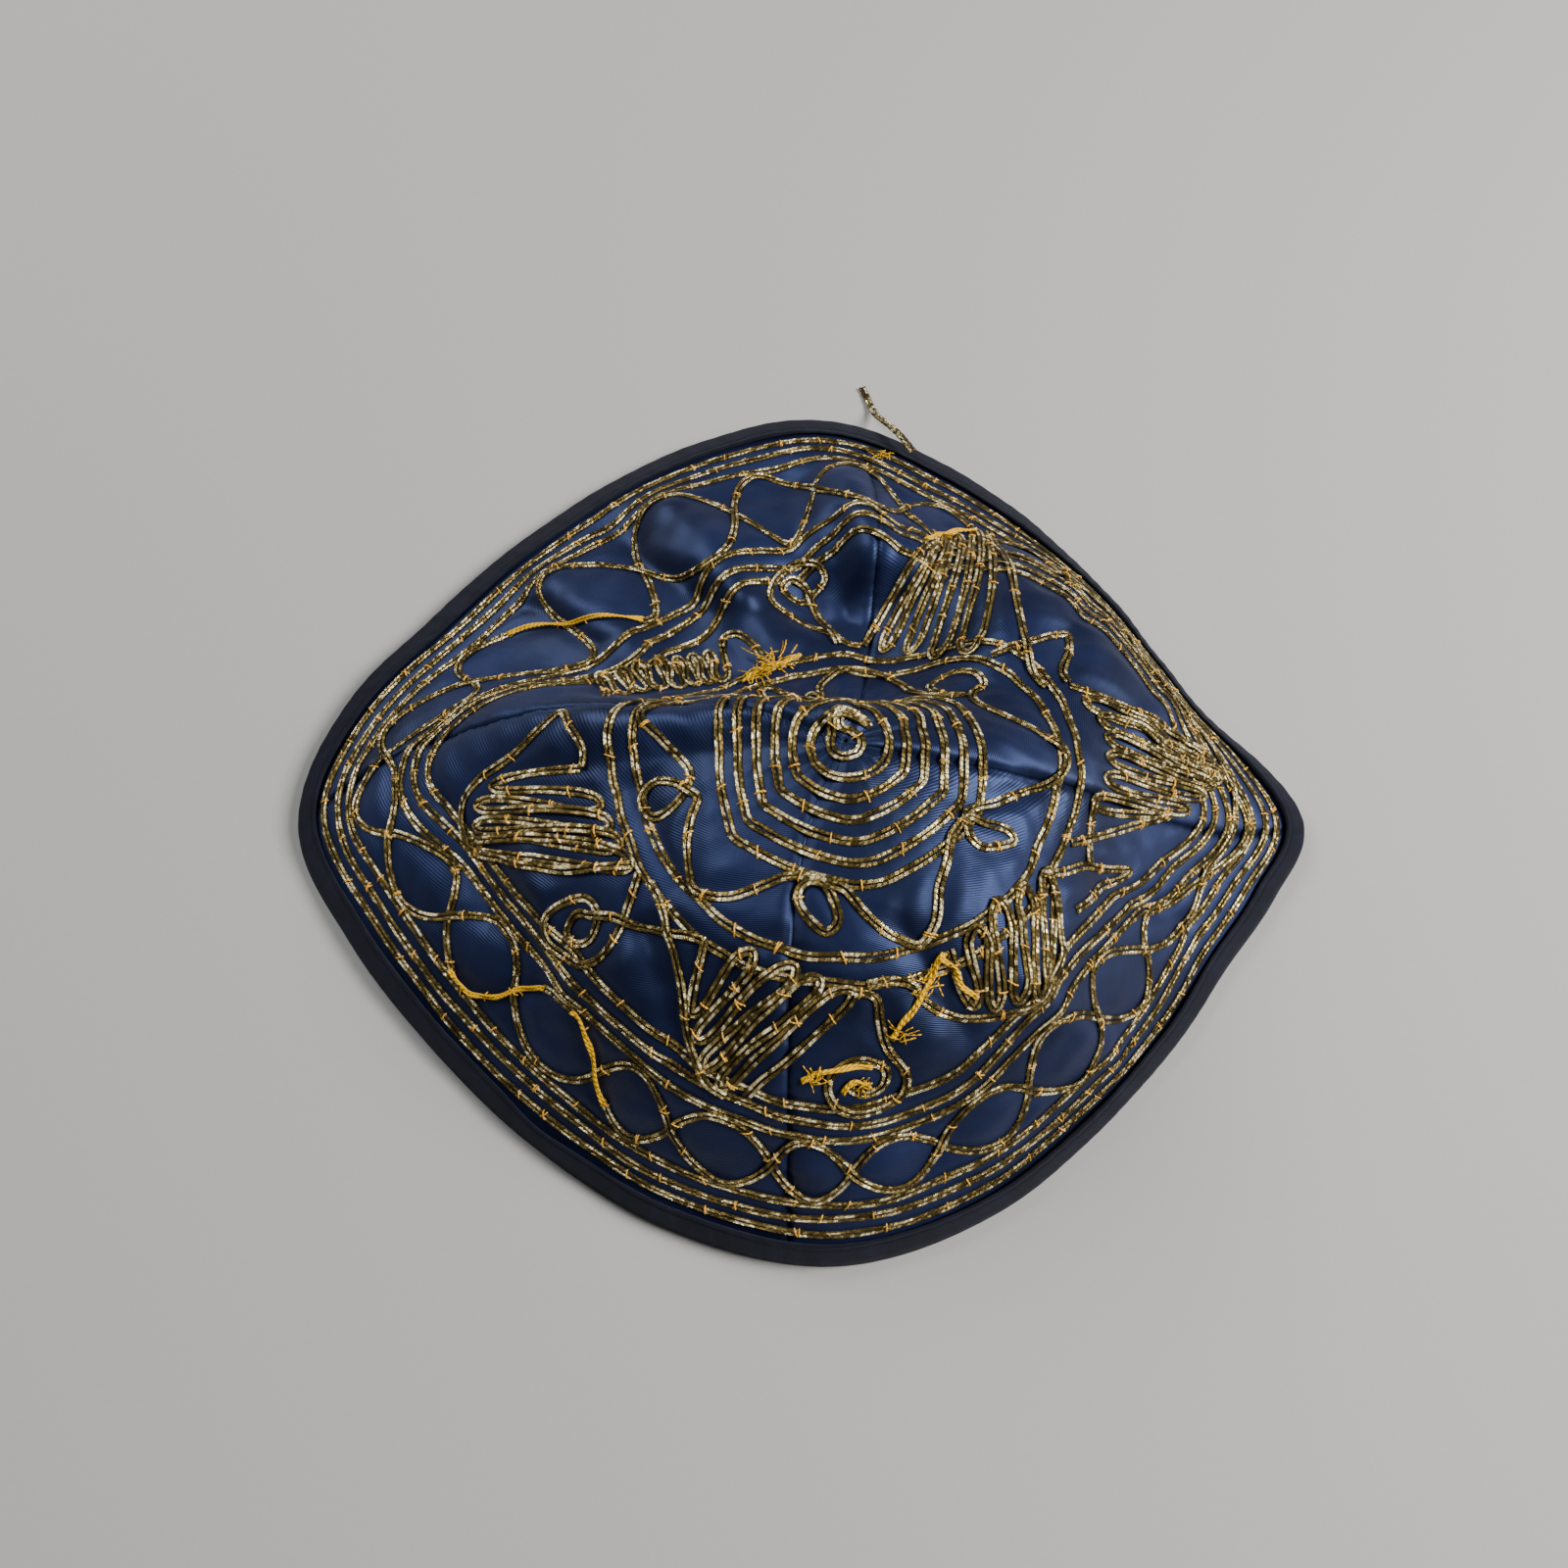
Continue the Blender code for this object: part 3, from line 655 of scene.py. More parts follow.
def read_turn(values, turn):
    """Read what is known for each turn of the grid at any turn."""
    place = np.asarray(turn, float) % 360 * FORM_TURNS / 360
    first = place.astype(int) % FORM_TURNS
    share = place - place.astype(int)
    return values[first] * (1 - share) + values[(first + 1) % FORM_TURNS] * share


def from_rim(turn, distance):
    """Turn a distance in millimetres squarely from the rim into one from the crown."""
    _, _, length, slant = cap_form()
    return read_turn(length, turn) / MM - distance * read_turn(slant, turn)


def place(turn, distance):
    """Give the point and the normal of the cloth's middle, distances in millimetres."""
    even, normal, length, _ = cap_form()
    turn, distance = np.broadcast_arrays(np.asarray(turn, float), np.asarray(distance, float))
    column = turn % 360 * FORM_TURNS / 360
    left = column.astype(int) % FORM_TURNS
    right = (left + 1) % FORM_TURNS
    across = (column - column.astype(int))[..., None]
    row = np.clip(distance * MM / read_turn(length, turn), 0, 1) * FORM_STEPS
    low = np.minimum(row.astype(int), FORM_STEPS - 1)
    down = (row - low)[..., None]

    def blend(grid):
        upper = grid[left, low] * (1 - across) + grid[right, low] * across
        lower = grid[left, low + 1] * (1 - across) + grid[right, low + 1] * across
        return upper * (1 - down) + lower * down

    return blend(even), unit(blend(normal))


def crowded_turn(turn):
    """Give the turn by which the solids' columns count, which crowd towards the two corners."""
    quarter = np.asarray(turn, float) % 360 / 90
    whole = np.floor(quarter)
    part = quarter - whole
    crowd = CORNER_CROWDING
    from_corner = (np.sqrt((1 - crowd) ** 2 + 4 * crowd * part) - (1 - crowd)) / (2 * crowd)
    to_corner = ((1 + crowd) - np.sqrt((1 + crowd) ** 2 - 4 * crowd * part)) / (2 * crowd)
    return (whole + np.where(whole % 2 == 0, from_corner, to_corner)) * 90


def flatten(rows):
    """Lay turns and distances out in a plane about the crown."""
    table = np.array(rows, float)
    angle = np.radians(table[:, 0])
    return np.stack([table[:, 1] * np.cos(angle), table[:, 1] * np.sin(angle)], axis=1)


def unflatten(plane):
    """Turn places in the plane about the crown back into turns and distances."""
    turn = np.degrees(np.arctan2(plane[:, 1], plane[:, 0])) % 360
    return turn, np.hypot(plane[:, 0], plane[:, 1])


def round_off(plane, closed=False):
    """Draw a smooth curve through the places in the plane, with stations about a step apart."""
    plane = np.asarray(plane, float)
    if closed:
        plane = np.concatenate([plane[-1:], plane, plane[:2]])
    else:
        first, last = 2 * plane[0] - plane[1], 2 * plane[-1] - plane[-2]
        plane = np.concatenate([[first], plane, [last]])
    stations = []
    for a, b, c, d in zip(plane, plane[1:], plane[2:], plane[3:]):
        count = max(2, int(np.ceil(np.hypot(*(c - b)) / STATION_STEP)))
        t = (np.arange(count) / count)[:, None]
        spans = [max(np.hypot(*(q - p)), 1e-3) ** 0.5 for p, q in ((a, b), (b, c), (c, d))]
        leave = ((b - a) / spans[0] - (c - a) / (spans[0] + spans[1]) + (c - b) / spans[1])
        reach = ((c - b) / spans[1] - (d - b) / (spans[1] + spans[2]) + (d - c) / spans[2])
        leave, reach = leave * spans[1], reach * spans[1]
        stations.append(b + leave * t + (3 * (c - b) - 2 * leave - reach) * t ** 2
                        + (2 * (b - c) + leave + reach) * t ** 3)
    if not closed:
        stations.append(plane[-2:-1])
    return np.concatenate(stations)


def comb_line(teeth):
    """Run to and fro between a comb's two rows of ends, with a round turn at each."""
    ends = []
    for near_turn, near, far_turn, far in teeth:
        ends += [(near_turn, near), (far_turn, far)]
    plane = flatten(ends)
    stations = [plane[0]]
    for i in range(1, len(plane) - 1):
        inward = (plane[i - 1] + plane[i + 1]) / 2 - plane[i]
        inward /= np.hypot(*inward)
        beside = plane[i + 1] - plane[i - 1]
        beside -= inward * (beside @ inward)
        beside /= max(np.hypot(*beside), 1e-3)
        wide = COMB_TURN_AT_CROWN if i % 2 == 0 else COMB_TURN_AT_RIM
        stations += [plane[i] + inward * COMB_TURN_DEPTH - beside * wide, plane[i],
                     plane[i] + inward * COMB_TURN_DEPTH + beside * wide]
    stations.append(plane[-1])
    return round_off(stations)


def line_of_cord(name, group, turn, distance, closed):
    """Note one line of cord by its stations' turns and distances from the crown."""
    return {"name": name, "group": group, "turn": np.asarray(turn, float),
            "distance": np.asarray(distance, float), "closed": closed}


def wander(turn, height, seed):
    """Give a hand-laid line's small wander to and fro on its way round."""
    angle = np.radians(turn)
    waves = [(7, 1.0), (11, 0.7), (19, 0.5), (31, 0.35)]
    return height * sum(size * np.sin(count * angle + seed * (1.7 + count))
                        for count, size in waves)


def rim_lines():
    """The three lines that follow the edge tape."""
    turn = np.arange(0, 360, 0.55)
    lines = []
    for i in range(3):
        away = RIM_LINE_START + RIM_LINE_PITCH * i + wander(turn, 0.16, i + 1)
        lines.append(line_of_cord(f"rim_line_{i + 1}", "rim", turn, from_rim(turn, away), True))
    return lines


def inner_distance(turn, steps):
    """Give the distance from the rim of a line some steps above the first inner one."""
    drift = round_the_cap(crowded_turn(turn), 1, INNER_DRIFT)
    return INNER_LINE_START * (1 + drift) + INNER_LINE_PITCH * steps


def inner_lines():
    """The three lines that edge the lattice on the side of the crown."""
    turn = np.arange(0, 360, 0.6)
    lines = []
    for i, (wave, waves, phase) in enumerate(INNER_LINES):
        steps = i + wave * np.sin(waves * np.radians(crowded_turn(turn)) + phase)
        away = inner_distance(turn, steps) + wander(turn, 0.14, i + 5)
        lines.append(line_of_cord(f"inner_line_{i + 1}", "inner", turn, from_rim(turn, away), True))
    return lines


def lattice_lines():
    """The two waves that cross each other between the rim lines and the inner lines."""
    turn = np.arange(0, 360, 0.5)
    count = len(LATTICE_TURNS)
    knots = np.array([at - 360 for at in LATTICE_TURNS[-3:]] + list(LATTICE_TURNS)
                     + [at + 360 for at in LATTICE_TURNS[:3]], float)
    numbers = np.arange(-3, count + 3, dtype=float)
    crossing = curve_through(turn, knots, numbers)
    foot = RIM_LINE_START + RIM_LINE_PITCH * 2 + 1.2
    head = inner_distance(turn, 0) - 1.0
    lines = []
    for i, side in enumerate((1, -1)):
        swing = np.sin(np.pi * crossing) * side
        swing = np.sign(swing) * np.abs(swing) ** 0.85
        away = (head + foot) / 2 + (head - foot) / 2 * swing + wander(turn, 0.2, i + 9)
        lines.append(line_of_cord(f"lattice_{i + 1}", "lattice", turn, from_rim(turn, away), True))
    return lines


def crown_rings():
    """The two rings round the crown."""
    turn = np.arange(0, 360, 1.0)
    lean = CROWN_RING_LEAN * np.sin(np.radians(crowded_turn(turn)))
    lines = []
    for i in range(2):
        away = CROWN_RING + CROWN_RING_PITCH * i + lean + wander(turn, 0.18, i + 13)
        lines.append(line_of_cord(f"crown_ring_{i + 1}", "ring", turn, away, True))
    return lines


def spiral_line():
    """The spiral about the crown: a small loop, then rounds that grow more cornered outwards."""
    lap = np.arange(0.3, SPIRAL_LAPS, 1 / 48)
    turn = lap * 360
    corners = np.array(SPIRAL_CORNERS + (SPIRAL_CORNERS[0] + 360,), float)
    around = (turn - corners[0]) % 360 + corners[0]
    side = np.searchsorted(corners, around, "right") - 1
    half = (corners[side + 1] - corners[side]) / 2
    off = around - corners[side] - half
    straight = np.cos(np.radians(half)) / np.cos(np.radians(off))
    straight = np.where(half > 45, 1.0, straight)
    strength = np.clip((lap - 0.6) / 1.6, 0, 1) * 0.62
    away = (SPIRAL_HEART_SIZE + SPIRAL_GROWTH * lap) * (1 + (straight - 1) * strength)
    rounds = flatten(np.stack([turn, away], axis=1))
    turn, distance = unflatten(round_off(np.concatenate([flatten(SPIRAL_HEART), rounds])))
    return [line_of_cord("spiral", "spiral", turn, distance, False)]


def motif_lines():
    """The star, the combs and the curls."""
    turn, distance = unflatten(round_off(flatten(STAR), closed=True))
    lines = [line_of_cord("star", "star", turn, distance, True)]
    for name, teeth in COMBS.items():
        lines.append(line_of_cord(f"{name}_comb", "comb", *unflatten(comb_line(teeth)), False))
    for name, rows in CURLS.items():
        stations = round_off(flatten(rows))
        lines.append(line_of_cord(name, "curl", *unflatten(stations), False))
    return lines


def smooth_run(values, reach, closed):
    """Even out numbers along a line."""
    kernel = np.hanning(2 * reach + 3)[1:-1]
    kernel /= kernel.sum()
    mode = "wrap" if closed else "edge"
    return np.convolve(np.pad(values, reach, mode=mode), kernel, "valid")


def pass_over(line, laid):
    """Lift a line where it passes over a line that is already laid, or over itself."""
    points = line["points"]
    own = tree_of(points)
    near = CROSSING_REACH * MM
    count = len(points)
    lift = np.zeros(count)
    for i, point in enumerate(points):
        closest = near
        if laid is not None:
            _, _, found = laid.find(point)
            closest = min(closest, found)
        for _, j, found in own.find_range(point, near):
            apart = i - j
            if line["closed"] and apart < 0:
                continue
            if apart > 6 and not (line["closed"] and count - apart <= 6):
                closest = min(closest, found)
        lift[i] = 1 - closest / near
    lift = np.clip(lift * 1.6, 0, 1)
    return smooth_run(lift, 2, line["closed"])


@lru_cache
def laid_lines():
    """Lay every line of cord in turn, each over the ones before it."""
    size = bpy.context.scene.skullcap_cord
    lines = rim_lines() + inner_lines() + lattice_lines() + crown_rings() + spiral_line()
    lines += motif_lines()
    laid = None
    stations = []
    for number, line in enumerate(lines):
        points, normals = place(line["turn"], line["distance"])
        line["points"], line["normals"] = points, normals
        over = pass_over(line, laid)
        base = CLOTH / 2 + size.height * CORD_LIFT
        line["points"] = points + normals * (base + over * size.height * CROSSING_LIFT)[:, None]
        line["number"] = number
        if line["closed"]:
            way = np.roll(line["points"], -1, axis=0) - np.roll(line["points"], 1, axis=0)
        else:
            way = np.gradient(line["points"], axis=0)
        line["side"] = unit(np.cross(way, normals))
        steps = np.linalg.norm(np.diff(line["points"], axis=0), axis=1)
        line["travelled"] = np.concatenate([[0], np.cumsum(steps)])
        stations.append(points)
        laid = tree_of(np.concatenate(stations))
    return lines


def cords_at(points):
    """Tell how far each point is from the nearest line of cord."""
    tree = tree_of(np.concatenate([line["points"] for line in laid_lines()]))
    return np.array([tree.find(point)[2] for point in points])


class Wire:
    """A shader socket that plain arithmetic works on, each step of it a Math node."""

    def __init__(self, finish, socket):
        self.finish = finish
        self.socket = socket

    def maths(self, operation, *values):
        """Add a Math node on the values, which are wires or numbers."""
        sockets = dict(enumerate(values))
        return self.finish.node("ShaderNodeMath", {"operation": operation}, sockets)

    def __add__(self, other):
        return self.maths("ADD", self, other)

    __radd__ = __add__

    def __sub__(self, other):
        return self.maths("SUBTRACT", self, other)

    def __rsub__(self, other):
        return self.maths("SUBTRACT", other, self)

    def __mul__(self, other):
        return self.maths("MULTIPLY", self, other)

    __rmul__ = __mul__

    def __truediv__(self, other):
        return self.maths("DIVIDE", self, other)

    def floor(self):
        """The whole number below."""
        return self.maths("FLOOR", self)

    def fraction(self):
        """What is left above the whole number."""
        return self.maths("FRACT", self)

    def sine(self):
        """The sine of an angle in radians."""
        return self.maths("SINE", self)

    def smooth(self, low, high):
        """Rise smoothly from 0 at low to 1 at high."""
        settings = {"interpolation_type": "SMOOTHSTEP"}
        sockets = {"Value": self, "From Min": low, "From Max": high}
        return self.finish.node("ShaderNodeMapRange", settings, sockets)


class Finish:
    """A material in the making: its nodes and the shader that they feed."""

    def __init__(self, name, **sockets):
        self.material = bpy.data.materials.new(name)
        self.material.use_nodes = True
        self.tree = self.material.node_tree
        self.shader = self.tree.nodes["Principled BSDF"]
        for socket, value in sockets.items():
            self.shader.inputs[socket.replace("_", " ")].default_value = value

    def node(self, kind, settings, sockets, output=0):
        """Add a node: its settings first, then the values or wires of its sockets."""
        node = self.tree.nodes.new(kind)
        for name, value in settings.items():
            if name == "stops":
                self.set_stops(node.color_ramp, value)
            else:
                setattr(node, name, value)
        for name, value in sockets.items():
            if isinstance(value, Wire):
                self.tree.links.new(value.socket, node.inputs[name])
            else:
                node.inputs[name].default_value = value
        return Wire(self, node.outputs[output])

    def set_stops(self, ramp, stops):
        """Set a ramp's stops, each a place and a colour."""
        while len(ramp.elements) < len(stops):
            ramp.elements.new(0.5)
        for element, (at, colour) in zip(ramp.elements, stops):
            element.position = at
            element.color = (*colour, 1)

    def split(self, vector):
        """Give a vector's first two parts."""
        first = self.node("ShaderNodeSeparateXYZ", {}, {0: vector})
        return first, Wire(self, first.socket.node.outputs[1])

    def cloth_place(self):
        """Give the two coordinates of the cloth or cord, in metres, as they run in its making."""
        return self.split(self.node("ShaderNodeUVMap", {"uv_map": "grain"}, {}))

    def noise(self, x, y, scale, detail=2.0, z=0.0):
        """Give smooth noise over two coordinates."""
        vector = self.node("ShaderNodeCombineXYZ", {}, {"X": x, "Y": y, "Z": z})
        sockets = {"Vector": vector, "Scale": scale, "Detail": detail}
        return self.node("ShaderNodeTexNoise", {}, sockets)

    def mix(self, factor, first, second):
        """Mix two colours, each a wire or three numbers."""
        sockets = {0: factor, 6: self.colour(first), 7: self.colour(second)}
        return self.node("ShaderNodeMix", {"data_type": "RGBA"}, sockets, output=2)

    def colour(self, value):
        """Give a colour socket's value."""
        return value if isinstance(value, Wire) else (*value, 1)

    def feed(self, socket, wire):
        """Lead a wire to one of the shader's sockets."""
        self.tree.links.new(wire.socket, self.shader.inputs[socket])

    def bump(self, height, depth, strength=1.0):
        """Lead a height to the shader's normal, its depth in metres."""
        sockets = {"Height": height, "Distance": depth, "Strength": strength}
        self.feed("Normal", self.node("ShaderNodeBump", {}, sockets))


def satin_finish(name, light, lean):
    """Navy satin: a fine slanting twill with a blue sheen and painted sheen, each gore cut with its
    own slant.
    """
    cloth = bpy.context.scene.skullcap_cloth
    finish = Finish(name, Metallic=0.20, Roughness=0.46, Sheen_Weight=0.05,
                    Sheen_Roughness=0.35, Sheen_Tint=(0.20, 0.32, 0.80, 1),
                    Specular_IOR_Level=0.42, Specular_Tint=(0.34, 0.48, 1.0, 1))
    across, along = finish.cloth_place()
    slant = (across * lean + along) * (2 * math.pi / cloth.twill)
    drift = finish.noise(across, along, 180.0, 3.0)
    rib = (slant + drift * 3.0).sine() * 0.5 + 0.5
    # Painted sheen: the twill's ribs and broad noise patches take the lit colour, the rest takes
    # the shade colour.
    shade = finish.noise(across, along, 38.0, 3.0)
    tone = rib * 0.25 + shade.smooth(0.3, 0.7) * 0.75
    # light scales both colours gore by gore: painted sheen that makes some gores lighter and others
    # darker.
    shadow, top = (tuple(value * light for value in colour)
                   for colour in (cloth.satin, cloth.satin_painted_sheen))
    finish.feed("Base Color", finish.mix(tone, shadow, top))
    finish.feed("Roughness", shade * 0.20 + 0.35)
    pucker = finish.noise(across, along, 240.0, 2.0)
    finish.bump(rib * 0.22 + pucker * 1.2, 0.00012, 0.9)
    return finish.material


def tape_finish():
    """Matte navy tape: a plain weave, paler where it is folded and rubbed."""
    cloth = bpy.context.scene.skullcap_cloth
    finish = Finish("navy_tape", Roughness=0.92, Sheen_Weight=0.04, Sheen_Roughness=0.5,
                    Specular_IOR_Level=0.12)
    along, across = finish.cloth_place()
    turn = 2 * math.pi / cloth.weave
    warp = ((along + across) * turn).sine()
    weft = ((along - across) * turn).sine()
    weave = warp * weft * 0.5 + 0.5
    rub = finish.noise(along, across, 220.0, 4.0)
    tone = weave * 0.4 + rub.smooth(0.35, 0.75) * 0.6
    pale = tuple(value * 2.6 for value in cloth.tape)
    finish.feed("Base Color", finish.mix(tone, tuple(cloth.tape), pale))
    finish.bump(weave + rub * 1.5, 0.00012, 0.8)
    return finish.material


def gold_finish():
    """Flat gold strip wound round a core: each turn of it catches the light by itself through its
    own bump tilt, and its colour has painted glints on the strand's top and painted shade on its
    sides.
    """
    cord = bpy.context.scene.skullcap_cord
    finish = Finish("wrapped_gold")
    along, around = finish.cloth_place()
    stretch = finish.noise(along, around, 95.0, 2.0)
    winding = along / cord.wrap + around * 0.35 + stretch * 1.4
    part = winding.fraction()
    chance = finish.node("ShaderNodeTexWhiteNoise", {"noise_dimensions": "1D"},
                         {"W": winding.floor()})
    worn = finish.noise(along, 0.0, 150.0, 3.0, z=3.0)
    # Painted shade on the strand's sides, which keeps the painted glints to its top.
    painted_side_shade = ((around - 0.5) * (around - 0.5)).smooth(0.025, 0.12)
    # Painted glints: where the per-turn chance and the worn noise are high, the wrapping takes the
    # pale colour and less metal. The worn noise is partly the foil's wear and partly painted glint.
    bright = (chance * 0.55 + worn.smooth(0.35, 0.65) * 0.55).smooth(0.25, 1.10)
    bright = bright * (1 - painted_side_shade * 0.85)
    gap = part.smooth(0.0, 0.16) * (1 - part.smooth(0.88, 1.0))
    ramp = [(0.0, cord.brown), (0.36, cord.gold), (0.85, cord.pale)]
    wrapped = finish.node("ShaderNodeValToRGB", {"stops": ramp}, {"Fac": bright})
    dark = tuple(value * 0.25 for value in cord.brown)
    finish.feed("Base Color", finish.mix(gap, dark, wrapped))
    finish.feed("Roughness", 0.36 - bright * 0.20)
    finish.feed("Metallic", 0.98 - bright * 0.38)
    tilt = part * (chance - 0.5) * 1.4
    finish.bump(gap * 0.35 + tilt, 0.00022, 0.9)
    return finish.material


def core_finish():
    """Twisted yellow cotton."""
    cord = bpy.context.scene.skullcap_cord
    finish = Finish("yellow_core", Roughness=0.75, Specular_IOR_Level=0.1)
    along, around = finish.cloth_place()
    twist = ((along / (0.9 * MM) + around) * (2 * math.pi)).sine() * 0.5 + 0.5
    tone = twist * 0.6 + finish.noise(along, around, 500.0, 3.0) * 0.4
    dark = tuple(value * 0.42 for value in cord.core)
    finish.feed("Base Color", finish.mix(tone, dark, tuple(cord.core)))
    finish.bump(twist, 0.0002, 0.9)
    return finish.material


def thread_finish(name, colour):
    """Sewing thread: two plies with a little gloss."""
    finish = Finish(name, Roughness=0.5)
    along, around = finish.cloth_place()
    twist = ((along / (0.5 * MM) + around) * (2 * math.pi)).sine() * 0.5 + 0.5
    dark = tuple(value * 0.45 for value in colour)
    finish.feed("Base Color", finish.mix(twist, dark, tuple(colour)))
    finish.bump(twist, 0.00008, 0.8)
    return finish.material


def floor_finish():
    """A plain pale floor."""
    colour = bpy.context.scene.skullcap_stage.floor
    finish = Finish("pale_floor", Roughness=0.9, Specular_IOR_Level=0.2)
    x, y = finish.split(finish.node("ShaderNodeNewGeometry", {}, {}))
    grain = finish.noise(x, y, 900.0, 4.0)
    dark = tuple(value * 0.94 for value in colour)
    finish.feed("Base Color", finish.mix(grain, dark, tuple(colour)))
    return finish.material


def finish_named(name, make):
    """Give a material by its name, made on first use."""
    return bpy.data.materials.get(name) or make()


def new_piece(name, vertices, faces, grain, material, slot):
    """Make one smooth piece that rides on the cap, with its grain as a UV map in metres."""
    mesh = bpy.data.meshes.new(name)
    mesh.from_pydata(np.asarray(vertices, float).tolist(), [], faces)
    mesh.materials.append(material)
    mesh.shade_smooth()
    layer = mesh.uv_layers.new(name="grain")
    corners = np.zeros(len(mesh.loops), dtype=np.int32)
    mesh.loops.foreach_get("vertex_index", corners)
    layer.data.foreach_set("uv", np.asarray(grain, np.float32)[corners].ravel())
    piece = bpy.data.objects.new(name, mesh)
    bpy.context.scene.collection.objects.link(piece)
    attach(piece, "root")
    return piece


def tube_mesh(runs, sides):
    """Join tubes into one list of vertices, faces and grain.

    A run is the points of a centre line, its two cross directions with their radii worked in,
    whether it closes on itself, and where along its strand it starts.
    """
    vertices, faces, grain = [], [], []
    base = 0
    angle = np.arange(sides) * 2 * math.pi / sides
    for points, side, up, closed, start in runs:
        count = len(points)
        ring = (points[:, None] + side[:, None] * np.cos(angle)[None, :, None]
                + up[:, None] * np.sin(angle)[None, :, None])
        vertices.append(ring.reshape(-1, 3))
        steps = np.linalg.norm(np.diff(points, axis=0), axis=1)
        along = np.concatenate([[0], np.cumsum(steps)]) + start
        around = np.abs(np.arange(sides) / sides * 2 - 1)
        grid = np.stack(np.broadcast_arrays(along[:, None], around[None, :]), axis=-1)
        grain.append(grid.reshape(-1, 2))
        for i in range(count if closed else count - 1):
            here, there = base + i * sides, base + (i + 1) % count * sides
            for j in range(sides):
                k = (j + 1) % sides
                faces.append((here + j, there + j, there + k, here + k))
        if not closed:
            faces.append(tuple(base + j for j in range(sides)))
            faces.append(tuple(base + (count - 1) * sides + j for j in reversed(range(sides))))
        base += count * sides
    return np.concatenate(vertices), faces, np.concatenate(grain)


def strand_runs(lines, skip=()):
    """Lay two strands beside each other along each line, as runs for tube_mesh."""
    size = bpy.context.scene.skullcap_cord
    runs = []
    for line in lines:
        seed = line["number"] * 2.3
        along = line["travelled"] / MM
        breathe = np.sin(along / 3.1 + seed) + 0.6 * np.sin(along / 1.7 + seed * 2)
        if line["closed"]:
            station = np.arange(len(along))
            breathe = breathe * np.clip(np.minimum(station, len(along) - station) / 8, 0, 1)
        keep = np.ones(len(along), bool)
        for number, first, last in skip:
            if number == line["number"]:
                keep &= ~((line["turn"] > first) & (line["turn"] < last))
        for half in (-1, 1):
            offset = (size.width + size.gap * (1 + 0.8 * breathe)) / 2 * half
            points = line["points"] + line["side"] * offset[:, None]
            ripple = 1 + 0.04 * np.sin(along / 0.9 + seed + half)
            across = line["side"] * (size.width / 2 * ripple)[:, None]
            up = line["normals"] * (size.height / 2 * ripple)[:, None]
            start = (line["number"] * 2 + (half > 0)) * 1.37
            if keep.all():
                runs.append((points, across, up, line["closed"], start))
                continue
            first = int(np.argmin(keep))
            order = np.roll(np.arange(len(keep)), -first)
            kept = order[keep[order]]
            breaks = np.flatnonzero(np.diff(kept) % len(keep) != 1) + 1
            for part in np.split(kept, breaks):
                runs.append((points[part], across[part], up[part], False, start))
    return runs


def loose_end_runs():
    """Lay the cord's loose end over the edge tape and down onto the floor."""
    size = bpy.context.scene.skullcap_cord
    path = np.array(LOOSE_END, float) * MM
    steps = np.concatenate([[0], np.cumsum(np.linalg.norm(np.diff(path, axis=0), axis=1))])
    at = np.linspace(0, steps[-1], 60)
    points = np.stack([curve_through(at, steps, path[:, axis]) for axis in range(3)], axis=1)
    way = np.gradient(points, axis=0)
    side = unit(np.cross(way, (0, 0, 1.0)))
    up = unit(np.cross(side, way))
    bead = 1 + 0.16 * np.sin(at / MM * 2 * math.pi / 1.6)
    offset = (size.width + size.gap) / 2
    return [(points + side * offset * half, side * (size.width / 2 * bead)[:, None],
             up * (size.height / 2 * bead)[:, None], False, 40.0 + half) for half in (-1, 1)]


def group_lines(*groups):
    """The laid lines of some groups."""
    return [line for line in laid_lines() if line["group"] in groups]


def cloth_relief(turn, distance, points):
    """Give how far the satin's outside stands up between the cords, and sinks at the seams."""
    cloth = bpy.context.scene.skullcap_cloth
    apart = cords_at(points)
    rim = np.clip((from_rim(turn, 4.5) - distance) / 4, 0, 1)
    angle = np.radians(turn)
    uneven = 0.75 + 0.3 * np.sin(angle * 23 + distance * 0.35) * np.sin(distance * 0.5 + angle * 9)
    puff = cloth.puff * (1 - np.exp(-(apart / (PUFF_REACH * MM)) ** 2)) * uneven * rim
    seam = np.abs((turn + 45) % 90 - 45) / 90 * math.pi / 2 * distance
    in_seam = np.exp(-(seam / SEAM_SINK_REACH) ** 2)
    sink = SEAM_SINK * MM * in_seam * np.clip(distance / 6, 0, 1) * rim
    pull = np.cos(distance * 2 * math.pi / SEAM_STITCH)
    stitch = SEAM_STITCH_DEPTH * MM * pull * np.exp(-(seam / SEAM_STITCH_REACH) ** 2) * rim
    return puff - sink + stitch


